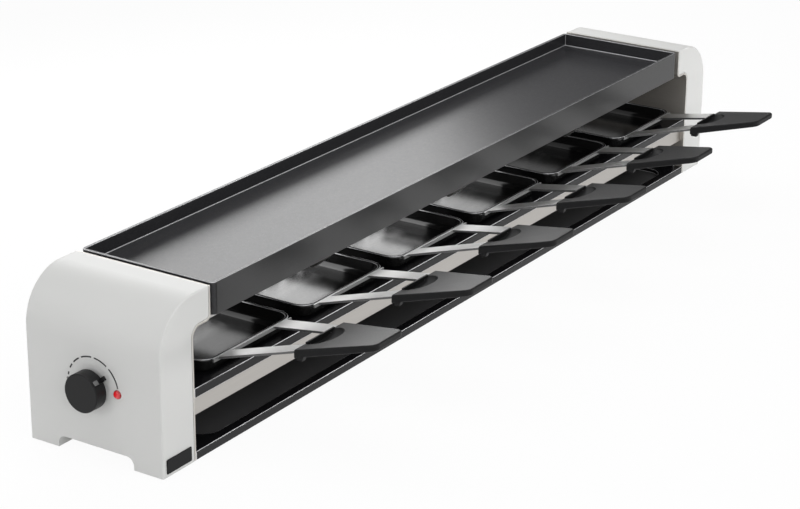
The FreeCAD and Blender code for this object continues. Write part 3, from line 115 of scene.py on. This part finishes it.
def softCopy(nodeName, body, width, material, edgeMaterial, clamp=False):
    # a CAD node with rounded edges: its copy is merged, flattened and bevelled
    source = nodes[nodeName]
    pickOnly(source)
    bpy.ops.object.duplicate()
    piece = bpy.context.object
    piece.name = nodeName + "Soft"
    place = piece.matrix_world.copy()
    piece.parent = None
    piece.matrix_world = place
    settle(piece)
    editMode(piece, "VERT")
    bpy.ops.mesh.select_all(action="SELECT")
    bpy.ops.mesh.remove_doubles(threshold=softening["mergeDistance"])
    bpy.ops.mesh.dissolve_limited(angle_limit=math.radians(softening["flatAngle"]))
    bpy.ops.object.mode_set(mode="OBJECT")
    paintPiece(piece, material)
    piece.data.materials.append(edgeMaterial)
    # the bevel's faces take the edge finish; where that finish is lighter, it is a painted highlight along
    # the edge
    if width:
        applyModifier(piece, "BEVEL", width=width, segments=softening["segments"], limit_method="ANGLE",
                      angle_limit=math.radians(softening["edgeAngle"]), use_clamp_overlap=clamp, material=1)
    settle(piece, softening["shadeAngle"])
    applyModifier(piece, "WEIGHTED_NORMAL", keep_sharp=True)
    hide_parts(nodeName)
    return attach(piece, body)


cameraPlace = {
    "location": (-1.4631, -0.9373, 0.6889),
    "azimuth": -56.9047,
    "elevation": 20.9775,
    "roll": 0.4844,
    "lens": 101.638,
    "sensor": 36,
}
cameraData = bpy.data.cameras.new("photoCamera")
cameraData.lens = cameraPlace["lens"]
cameraData.sensor_width = cameraPlace["sensor"]
cameraData.clip_start = 0.05
camera = bpy.data.objects.new("photoCamera", cameraData)
bpy.context.collection.objects.link(camera)
turn = Matrix.Rotation(math.radians(cameraPlace["azimuth"]), 4, "Z")
turn = turn @ Matrix.Rotation(math.radians(90 - cameraPlace["elevation"]), 4, "X")
turn = turn @ Matrix.Rotation(math.radians(cameraPlace["roll"]), 4, "Z")
camera.matrix_world = Matrix.Translation(cameraPlace["location"]) @ turn
bpy.context.scene.camera = camera
print("camera set")


class Signal:
    # a socket that reads as a number in an expression

    def __init__(self, paint, socket):
        self.paint = paint
        self.socket = socket

    def join(self, operation, other, swapped=False):
        pair = (other, self) if swapped else (self, other)
        return self.paint.add("Math", {"operation": operation}, {0: pair[0], 1: pair[1]})

    def __add__(self, other):
        return self.join("ADD", other)

    def __radd__(self, other):
        return self.join("ADD", other)

    def __sub__(self, other):
        return self.join("SUBTRACT", other)

    def __rsub__(self, other):
        return self.join("SUBTRACT", other, True)

    def __mul__(self, other):
        return self.join("MULTIPLY", other)

    def __rmul__(self, other):
        return self.join("MULTIPLY", other)

    def __truediv__(self, other):
        return self.join("DIVIDE", other)

    def __pow__(self, other):
        return self.join("POWER", other)


class NodeTree:
    # adds nodes to a tree; what varies comes in by a link and the rest is a plain value

    def __init__(self, tree):
        self.tree = tree

    def feed(self, socket, value):
        if isinstance(value, Signal):
            self.tree.links.new(value.socket, socket)
        else:
            socket.default_value = value

    def add(self, kind, settings=None, values=None, output=0):
        node = self.tree.nodes.new("ShaderNode" + kind)
        for name, value in (settings or {}).items():
            setattr(node, name, value)
        for name, value in (values or {}).items():
            self.feed(node.inputs[name], value)
        return Signal(self, node.outputs[output]) if output is not None else None


class Paint(NodeTree):
    # one material: its shader's own sockets take constants, and links take what varies

    def __init__(self, name, color, roughness, metallic=0.0, **constants):
        self.material = bpy.data.materials.new(name)
        self.material.use_nodes = True
        super().__init__(self.material.node_tree)
        self.surface = self.tree.nodes["Principled BSDF"]
        self.material.diffuse_color = (*color, 1)
        self.set("Base Color", (*color, 1))
        self.set("Roughness", roughness)
        self.set("Metallic", metallic)
        for socket, value in constants.items():
            self.set(socket.replace("_", " "), value)

    def set(self, socket, value):
        self.feed(self.surface.inputs[socket], value)

    def place(self, scale=(1, 1, 1), shift=(0, 0, 0)):
        where = self.add("TexCoord", output="Object")
        return self.add("Mapping", {}, {"Vector": where, "Scale": scale, "Location": shift})

    def noise(self, where, scale, detail=2.0, roughness=0.5):
        return self.add("TexNoise", {}, {"Vector": where, "Scale": scale, "Detail": detail,
                                         "Roughness": roughness})

    def mixColor(self, amount, first, second):
        return self.add("Mix", {"data_type": "RGBA"}, {0: amount, 6: (*first, 1), 7: (*second, 1)}, output=2)

    def bump(self, height, strength, distance):
        normal = self.add("Bump", {}, {"Strength": strength, "Distance": distance, "Height": height})
        self.set("Normal", normal)


def mouldedPlastic(name, color, roughness, grain=900, depth=0.00006, shade=0.06, **constants):
    paint = Paint(name, color, roughness, **constants)
    where = paint.place()
    fine = paint.noise(where, grain, 3.0)
    broad = paint.noise(where, 14, 2.0)
    darker = tuple(c * (1 - shade) for c in color)
    paint.set("Base Color", paint.mixColor(broad, darker, color))
    paint.set("Roughness", roughness - 0.05 + fine * 0.1)
    paint.bump(fine, 0.35, depth)
    return paint.material


def coatedMetal(name, color, roughness, fleck=1400, sparkle=0.5, depth=0.00005, metallic=0.0, **constants):
    # baked non-stick coat: near black with fine pale flecks and a soft orange peel
    paint = Paint(name, color, roughness, metallic, **constants)
    where = paint.place()
    fine = paint.noise(where, fleck, 2.0, 0.6)
    peel = paint.noise(where, fleck / 5, 2.0)
    flecks = paint.add("Math", {"operation": "SMOOTH_MIN"}, {0: (fine - 0.56) * 9, 1: 1.0, 2: 0.1})
    spots = paint.add("Math", {"operation": "MAXIMUM"}, {0: flecks, 1: 0.0})
    lighter = tuple(min(1, c * 2.6 + 0.05) for c in color)
    paint.set("Base Color", paint.mixColor(spots * sparkle, color, lighter))
    paint.set("Roughness", roughness - 0.04 + peel * 0.08)
    paint.bump(peel + fine * 0.4, 0.4, depth)
    return paint.material


def brushedMetal(name, color, roughness, grain, streak=0.16, metallic=1.0):
    # fine parallel scratches along the direction whose grain number is small
    paint = Paint(name, color, roughness, metallic)
    lines = paint.noise(paint.place(grain), 6, 4.0, 0.65)
    cloud = paint.noise(paint.place(), 9, 2.0)
    darker = tuple(c * (1 - streak) for c in color)
    paint.set("Base Color", paint.mixColor(lines, darker, color))
    paint.set("Roughness", roughness - 0.08 + lines * 0.12 + cloud * 0.05)
    paint.bump(lines, 0.25, 0.00005)
    return paint.material


def lampGlass(name, bright, deep):
    # clear red lens with a painted highlight: lighter red in the middle, darker red towards its rim
    paint = Paint(name, bright, 0.12)
    low, high = (Vector(corner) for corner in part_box("lamp_lens"))
    middle = (low + high) / 2
    where = paint.place(scale=(0, 1, 1), shift=(0, -middle.y, -middle.z))
    away = paint.add("VectorMath", {"operation": "LENGTH"}, {0: where}, output="Value")
    rim = paint.add("Math", {"operation": "MINIMUM"}, {0: (away / (high.z - middle.z)) ** 3.0, 1: 1.0})
    # painted highlight: the colour runs from the light red in the middle to the deep red at the rim
    paint.set("Base Color", paint.mixColor(rim, bright, deep))
    paint.set("Coat Weight", 1.0 - rim * 0.6)
    paint.bump(paint.noise(paint.place(), 300, 2.0), 0.1, 0.00001)
    return paint.material


finishes = {
    "capPlastic": mouldedPlastic("capPlastic", (0.64, 0.64, 0.625), 0.45, grain=1100, depth=0.00004,
                                 shade=0.02, Specular_IOR_Level=0.35),
    "plateCoat": coatedMetal("plateCoat", (0.022, 0.022, 0.024), 0.33, fleck=1500, sparkle=0.35,
                             Specular_IOR_Level=0.3),
    # painted shade: a darker copy of the plate's coat for its front wall
    "plateWallShade": coatedMetal("plateWallShade", (0.006, 0.006, 0.0065), 0.3, fleck=1500, sparkle=0.35,
                             depth=0.00002),
    "panCoat": coatedMetal("panCoat", (0.006, 0.006, 0.006), 0.16, fleck=1800, sparkle=0.05, depth=0.000005),
    "blackEnamel": coatedMetal("blackEnamel", (0.006, 0.006, 0.007), 0.24, fleck=1700, sparkle=0.03,
                               depth=0.00002, Specular_IOR_Level=0.2),
    # painted highlight: a lighter, more metallic copy of the coat for rounded edges and creases
    "coatEdgeHighlight": coatedMetal("coatEdgeHighlight", (0.42, 0.42, 0.43), 0.3, fleck=1500, sparkle=0.3, depth=0.00002,
                            metallic=0.6),
    # painted highlight: a light copy of the black enamel for its bevels and front folds
    "enamelEdgeHighlight": coatedMetal("enamelEdgeHighlight", (0.72, 0.72, 0.73), 0.3, fleck=1500, sparkle=0.3, depth=0.00002,
                              metallic=0.6),
    # painted highlight: a lighter copy of the lining steel for its bevelled edges
    "liningEdgeHighlight": brushedMetal("liningEdgeHighlight", (0.80, 0.79, 0.76), 0.35, grain=(260, 3, 260), metallic=0.6),
    # painted shade: a dark copy of the arm steel for the arms' sides
    "armSideShade": brushedMetal("armSideShade", (0.13, 0.13, 0.13), 0.4, grain=(200, 5, 200), metallic=0.6),
    "liningSteel": brushedMetal("liningSteel", (0.50, 0.47, 0.43), 0.36, grain=(260, 3, 260), metallic=0.6),
    # painted light: a lighter copy of the black enamel for the base tray's recess floor
    "trayFloorPaintedLight": coatedMetal("trayFloorPaintedLight", (0.08, 0.08, 0.082), 0.4, fleck=1700, sparkle=0.05, depth=0.00002),
    "apronSteel": brushedMetal("apronSteel", (0.475, 0.455, 0.43), 0.34, grain=(3, 260, 260)),
    "armSteel": brushedMetal("armSteel", (0.88, 0.88, 0.87), 0.36, grain=(260, 5, 60)),
    "railSteel": brushedMetal("railSteel", (0.52, 0.51, 0.50), 0.38, grain=(3, 200, 200)),
    "handleTop": mouldedPlastic("handleTop", (0.011, 0.011, 0.0115), 0.44, grain=1500, depth=0.00008,
                                shade=0.25, Specular_IOR_Level=0.35),
    # painted shade: a darker, less glossy copy of the handle plastic for its sides, underside and thumb
    # hollow
    "handleSideShade": mouldedPlastic("handleSideShade", (0.009, 0.009, 0.0095), 0.5, grain=1500, depth=0.00008,
                                 shade=0.25, Specular_IOR_Level=0.15),
    "knobPlastic": mouldedPlastic("knobPlastic", (0.008, 0.008, 0.0085), 0.42, grain=1700, depth=0.00004,
                                  shade=0.2, Specular_IOR_Level=0.25),
    "controlPlastic": mouldedPlastic("controlPlastic", (0.06, 0.06, 0.06), 0.5),
    "inletPlastic": mouldedPlastic("inletPlastic", (0.022, 0.022, 0.022), 0.45),
    "blockPlastic": mouldedPlastic("blockPlastic", (0.68, 0.66, 0.60), 0.4),
    "ceramic": mouldedPlastic("ceramic", (0.78, 0.76, 0.70), 0.22, grain=500, depth=0.00002),
    "footRubber": mouldedPlastic("footRubber", (0.02, 0.02, 0.02), 0.75, grain=800, depth=0.0001,
                                 shade=0.3),
    "blankDark": mouldedPlastic("blankDark", (0.006, 0.006, 0.0065), 0.5, grain=1600, depth=0.00002,
                                shade=0.1, Specular_IOR_Level=0.15),
    "markGrey": mouldedPlastic("markGrey", (0.13, 0.13, 0.13), 0.4, grain=1500, depth=0.00001, shade=0.05),
    "dialInk": mouldedPlastic("dialInk", (0.03, 0.03, 0.031), 0.55, grain=1500, depth=0.00001, shade=0.2),
    "lampRed": lampGlass("lampRed", (0.80, 0.008, 0.016), (0.30, 0.003, 0.006)),
    "sheathSteel": brushedMetal("sheathSteel", (0.22, 0.21, 0.20), 0.45, grain=(4, 90, 90)),
    "zincSteel": brushedMetal("zincSteel", (0.62, 0.63, 0.64), 0.34, grain=(120, 120, 120)),
    "brassMetal": brushedMetal("brassMetal", (0.70, 0.52, 0.25), 0.30, grain=(120, 120, 120)),
}
print("materials made:", len(finishes))

finishOf = {
    "left_end_cap": "capPlastic",
    "right_end_cap": "capPlastic",
    "rear_panel": "blackEnamel",
    "rear_rail": "railSteel",
    "front_rail": "railSteel",
    "heating_element": "sheathSteel",
    "element_straps": "railSteel",
    "element_bushings": "ceramic",
    "element_terminals": "zincSteel",
    "cap_screws": "zincSteel",
    "frame_rivets": "zincSteel",
    "rubber_feet": "footRubber",
    "control_knob": "knobPlastic",
    "knob_mark": "markGrey",
    "thermostat_plate": "zincSteel",
    "thermostat": "controlPlastic",
    "thermostat_shaft": "zincSteel",
    "thermostat_screws": "zincSteel",
    "lamp_lens": "lampRed",
    "lamp_holder": "controlPlastic",
    "terminal_block": "blockPlastic",
    "terminal_screws": "brassMetal",
    "power_inlet": "inletPlastic",
    "inlet_pins": "brassMetal",
}
for nodeName, finish in finishOf.items():
    paintPiece(nodes[nodeName], finishes[finish])


softEdges = {
    # node: (body, edge radius, whether the radius is clamped, finish, finish of the edges, which is a lighter
    # painted highlight where it differs from the finish)
    "grill_plate": ("plate", 0.0005, True, "plateCoat", "coatEdgeHighlight"),
    "pan_shelf": ("grill", 0.0004, False, "blackEnamel", "enamelEdgeHighlight"),
    "base_tray": ("grill", 0.0004, False, "blackEnamel", "enamelEdgeHighlight"),
    "heat_shield": ("grill", 0.0003, False, "apronSteel", "apronSteel"),
    "left_side_panel": ("grill", 0.0003, False, "liningSteel", "liningEdgeHighlight"),
    "right_side_panel": ("grill", 0.0003, False, "liningSteel", "liningEdgeHighlight"),
    "blank_plate": ("grill", 0.0002, True, "blankDark", "blankDark"),
}
softPieces = {}
for nodeName, (body, width, clamp, finish, edgeFinish) in softEdges.items():
    softPieces[nodeName] = softCopy(nodeName, body, width, finishes[finish], finishes[edgeFinish],
                                    clamp=clamp)


frontFaces = {
    "behind": -0.055,  # y; the front faces lie before it
    "recessTop": 0.005,  # z; only the floor of the base tray's recess lies under it
}


def isFold(centre, normal):
    # the rounded front fold of the shelf and of the base tray, which takes a painted highlight
    return centre.y < frontFaces["behind"] and -0.8 < normal.y < -0.4 and normal.z > 0.3


def isFront(centre, normal):
    return centre.y < frontFaces["behind"] and normal.y < -0.9


def isRecess(centre, normal):
    return centre.z < frontFaces["recessTop"] and normal.z > 0.98


for nodeName in ("pan_shelf", "base_tray"):
    paintFaces(softPieces[nodeName], finishes["enamelEdgeHighlight"], isFold)
# painted light: the recess floor takes the lighter copy of the enamel
paintFaces(softPieces["base_tray"], finishes["trayFloorPaintedLight"], isRecess)
# painted shade: the plate's front wall takes the darker copy of its coat
paintFaces(softPieces["grill_plate"], finishes["plateWallShade"], isFront)
print("edges softened")

bowl = {
    "rimHeight": 0.0014,
    "rimWidth": 0.0024,
    "cornerRadius": 0.013,
    "cornerSteps": 10,
    "edge": 0.00045,
    # inset and drop, as shares of the edge, of the rim's rounding
    "rounding": [(0.13, 0.4), (0.32, 0.36), (0.55, 0.24)],
    # inset and drop of each step, in metres, from the rim inwards
    "inside": [(0.00195, -0.00593), (0.00055, -0.00124), (0.0008, -0.0011), (0.00101, -0.00091),
               (0.00118, -0.00068), (0.00129, -0.00042), (0.00135, -0.00017), (0.0012, 0)],
    "underside": [(0.0018, 0), (0.00235, 0.0071), (0.00045, 0.0013), (0.0008, 0.0011), (0.0011, 0.0008),
                  (0.0012, 0.0003)],
}


def insetSteps(steps):
    for inward, rise in steps:
        bpy.ops.mesh.inset(thickness=inward, depth=rise)


def buildBowl():
    low, high = (Vector(corner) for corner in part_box("pan_1_tray"))
    middle = (low + high) / 2
    rimBottom = high.z - bowl["rimHeight"]
    edge = bowl["edge"]
    deselectAll()
    bpy.ops.mesh.primitive_plane_add(size=1, location=(middle.x, middle.y, rimBottom))
    piece = bpy.context.object
    piece.name = "pan1Bowl"
    editMode(piece)
    bpy.ops.mesh.select_all(action="SELECT")
    bpy.ops.transform.resize(value=(high.x - low.x, high.y - low.y, 1))
    bpy.ops.object.mode_set(mode="OBJECT")
    settle(piece)
    editMode(piece)
    bpy.ops.mesh.select_all(action="SELECT")
    bpy.ops.mesh.bevel(offset=bowl["cornerRadius"], segments=bowl["cornerSteps"], affect="VERTICES")
    bpy.ops.mesh.select_all(action="SELECT")
    bpy.ops.mesh.extrude_region_move(TRANSFORM_OT_translate={"value": (0, 0, bowl["rimHeight"] - edge)})
    rounding = [(edge * inward, edge * rise) for inward, rise in bowl["rounding"]]
    insetSteps(rounding)
    insetSteps([(bowl["rimWidth"] - 2 * edge, 0)])
    insetSteps([(inward, -rise) for inward, rise in reversed(rounding)])
    insetSteps(bowl["inside"])
    selectFaces(piece, lambda centre, normal: normal.z < -0.9)
    insetSteps(bowl["underside"])
    bpy.ops.mesh.select_all(action="SELECT")
    bpy.ops.mesh.normals_make_consistent(inside=False)
    bpy.ops.object.mode_set(mode="OBJECT")
    paintPiece(piece, finishes["panCoat"])
    # painted highlight: the bowl rim's rounded edges take the lighter edge finish
    rimEdge = high.z - 1.1 * edge
    paintFaces(piece, finishes["coatEdgeHighlight"],
               lambda centre, normal: centre.z > rimEdge and 0.15 < normal.z < 0.97)
    settle(piece)
    return piece


panRow = {
    "pans": 6,
    "bracketEdge": 0.0003,
    # a handle's top face in side view: (y, z) at its rear edge, its rise per metre, and what counts as on it
    "handleRear": (-0.113, 0.0821),
    "handleRise": 0.2224,
    "handleSkin": 0.0002,
}


def isBelowTop(centre, normal):
    # a handle's sides, its underside and its thumb hollow, which take a painted shade
    y, z = panRow["handleRear"]
    return centre.z < z + (y - centre.y) * panRow["handleRise"] - panRow["handleSkin"]


def dressPans():
    first = buildBowl()
    start = Vector(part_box("pan_1_tray")[0])
    for number in range(1, panRow["pans"] + 1):
        name = f"pan_{number}"
        piece = first
        if number > 1:
            pickOnly(first)
            bpy.ops.object.duplicate()
            piece = bpy.context.object
            piece.name = f"pan{number}Bowl"
            piece.location = Vector(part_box(name + "_tray")[0]) - start
            settle(piece)
        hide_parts(name + "_tray")
        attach(piece, name)
        bracket = softCopy(name + "_bracket", name, panRow["bracketEdge"], finishes["armSteel"],
                           finishes["armSteel"])
        # painted shade on the bracket faces that do not face up
        paintFaces(bracket, finishes["armSideShade"], lambda centre, normal: normal.z < 0.6)
        handle = softCopy(name + "_handle", name, 0, finishes["handleTop"], finishes["handleTop"])
        paintFaces(handle, finishes["handleSideShade"], isBelowTop)


dressPans()
print("pans dressed")

dial = {
    "faceX": -0.405,
    "height": 0.0544,
    "radius": 0.0222,
    "line": 0.0011,
    "thickness": 0.00012,
    # angles in degrees, clockwise from the top
    "startAngle": -86.7,
    "startRing": (0.0012, 0.0006),
    "dashes": [(-78.9, -73.1), (-63.8, -54.3), (-48.0, -32.1), (-25.4, -1.5), (4.7, 34.0), (40.3, 78.9)],
}


def dialPoint(angle, radius):
    # angles run clockwise from the top, seen from outside the left end
    turned = math.radians(angle)
    return Vector((dial["faceX"], -radius * math.sin(turned), dial["height"] + radius * math.cos(turned)))


def addRing(angle, radius, hole):
    # a small flat ring at the start of the scale
    bpy.ops.mesh.primitive_circle_add(vertices=32, radius=radius, fill_type="NGON",
                                      location=dialPoint(angle, dial["radius"]),
                                      rotation=(0, -math.pi / 2, 0))
    ring = bpy.context.object
    editMode(ring)
    bpy.ops.mesh.select_all(action="SELECT")
    bpy.ops.mesh.inset(thickness=radius - hole)
    bpy.ops.mesh.delete(type="FACE")
    bpy.ops.object.mode_set(mode="OBJECT")
    return ring


def addDash(start, end, width):
    # a short bar across the line is spun round the dial's axis
    bpy.ops.mesh.primitive_plane_add(size=1, location=dialPoint(start, dial["radius"]))
    bar = bpy.context.object
    editMode(bar, "VERT")
    bpy.ops.mesh.select_all(action="SELECT")
    bpy.ops.mesh.merge(type="CENTER")
    across = dialPoint(start, width) - dialPoint(start, 0)
    bpy.ops.transform.translate(value=across * -0.5)
    bpy.ops.mesh.extrude_region_move(TRANSFORM_OT_translate={"value": across})
    bpy.ops.mesh.select_all(action="SELECT")
    bpy.ops.mesh.spin(steps=max(4, int(end - start)), angle=math.radians(start - end), center=dialPoint(0, 0),
                      axis=(1, 0, 0))
    bpy.ops.object.mode_set(mode="OBJECT")
    return bar


def buildDialMarks():
    deselectAll()
    parts = [addRing(dial["startAngle"], *dial["startRing"])]
    for start, end in dial["dashes"]:
        parts.append(addDash(start, end, dial["line"]))
    deselectAll()
    for part in parts:
        part.select_set(True)
    bpy.context.view_layer.objects.active = parts[0]
    bpy.ops.object.join()
    marks = bpy.context.object
    marks.name = "dialMarks"
    settle(marks)
    editMode(marks)
    bpy.ops.mesh.select_all(action="SELECT")
    bpy.ops.mesh.remove_doubles(threshold=1e-6)
    bpy.ops.mesh.extrude_region_move(TRANSFORM_OT_translate={"value": (-dial["thickness"], 0, 0)})
    bpy.ops.mesh.select_all(action="SELECT")
    bpy.ops.mesh.normals_make_consistent(inside=False)
    bpy.ops.object.mode_set(mode="OBJECT")
    paintPiece(marks, finishes["dialInk"])
    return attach(marks, "grill")


buildDialMarks()
print("dial marked")


studio = {
    "floorSize": 12,
    "floorHeight": -0.0005,
    "floorWhite": 0.95,  # how white camera and glossy rays see the floor
    "glossyWhite": 0.25,  # how white glossy rays see the world
    "worldColor": (0.93, 0.94, 0.96),
    "worldStrength": (0.42, 0.02),
    "worldDarkSide": (0.88, 0.42, 0.22),
    "worldFade": (-0.2, 0.95),
    "lamps": {
        # name: (place, aim, width, height, watts)
        "overhead": ((-0.3, -0.1, 1.5), (0, 0, 0), 1.6, 1.2, 11.5),
        "frontLeft": ((-1.5, -1.6, 1.0), (0, 0, 0.05), 1.2, 1.0, 12),
        "endFill": ((-1.9, 0.4, 0.6), (-0.4, 0, 0.05), 0.8, 0.8, 4),
        "rearPanel": ((0.37, 0.58, 0.48), (-0.03, -0.04, 0.09), 0.8, 0.42, 4.1),
        "frontLow": ((0.6, -1.3, 0.10), (0.3, -0.06, 0.06), 1.0, 0.12, 6),
        "foldLight": ((0.9, -0.6, 0.85), (-0.1, -0.06, 0.03), 0.6, 0.4, 2.2),
        "armGlow": ((-0.13, -0.044, 0.083), (-0.13, -0.2, 0.07), 0.36, 0.014, 0.022),
    },
    "bowlLamp": {"x": [-0.250, -0.142, -0.012, 0.102, 0.219, 0.338], "y": 0.022, "z": 0.0815,
                 "width": 0.042, "depth": 0.05, "watts": [0.010, 0.022, 0.021, 0.014, 0.003, 0.003]},
}


def buildFloor():
    deselectAll()
    bpy.ops.mesh.primitive_plane_add(size=studio["floorSize"], location=(0, 0, studio["floorHeight"]))
    floor = bpy.context.object
    floor.name = "studioFloor"
    settle(floor)
    paint = Paint("studioFloor", (0.88, 0.88, 0.88), 0.6)
    rays = paint.add("LightPath", output="Is Camera Ray") + paint.add("LightPath", output="Is Glossy Ray")
    glow = paint.add("Emission", {}, {"Color": (1, 1, 1, 1), "Strength": 1.0}, output="Emission")
    surface = Signal(paint, paint.surface.outputs["BSDF"])
    mixed = paint.add("MixShader", {}, {0: rays * studio["floorWhite"], 1: surface, 2: glow})
    output = paint.tree.nodes["Material Output"]
    paint.feed(output.inputs["Surface"], mixed)
    paintPiece(floor, paint.material)


def buildWorld():
    # white for the camera and partly in metal; the light itself is weaker from the far right
    world = bpy.data.worlds.new("studioWorld")
    bpy.context.scene.world = world
    world.use_nodes = True
    world.node_tree.nodes.clear()
    sky = NodeTree(world.node_tree)
    rays = [sky.add("LightPath", output=f"Is {kind} Ray") for kind in ("Camera", "Transmission", "Glossy")]
    seen = rays[0] + rays[1] + rays[2] * studio["glossyWhite"]
    toward = sky.add("TexCoord", output="Generated")
    side = sky.add("VectorMath", {"operation": "DOT_PRODUCT"}, {0: toward, 1: studio["worldDarkSide"]},
                   output="Value")
    bright, dark = studio["worldStrength"]
    near, far = studio["worldFade"]
    fade = sky.add("MapRange", {"interpolation_type": "SMOOTHSTEP"},
                   {"Value": side, "From Min": near, "From Max": far, "To Min": bright, "To Max": dark})
    soft = sky.add("Background", {}, {"Color": (*studio["worldColor"], 1), "Strength": fade})
    white = sky.add("Background", {}, {"Color": (1, 1, 1, 1), "Strength": 1.0})
    mixed = sky.add("MixShader", {}, {0: seen, 1: soft, 2: white})
    sky.add("OutputWorld", {}, {"Surface": mixed}, output=None)


def addLamp(name, place, aim, width, height, watts):
    lampData = bpy.data.lights.new(name, "AREA")
    lampData.shape = "RECTANGLE"
    lampData.size = width
    lampData.size_y = height
    lampData.energy = watts
    lamp = bpy.data.objects.new(name, lampData)
    bpy.context.collection.objects.link(lamp)
    lamp.location = place
    lamp.rotation_euler = (Vector(aim) - Vector(place)).to_track_quat("-Z", "Y").to_euler()
    lamp.visible_camera = False


def buildLamps():
    for name, settings in studio["lamps"].items():
        addLamp(name, *settings)
    # one small lamp over each pan lights the inside
    row = studio["bowlLamp"]
    for x, watts in zip(row["x"], row["watts"]):
        addLamp("bowlLamp", (x, row["y"], row["z"]), (x, row["y"], 0), row["width"], row["depth"], watts)


buildFloor()
buildWorld()
buildLamps()
bpy.context.scene.view_settings.view_transform = "Standard"
print("studio set")
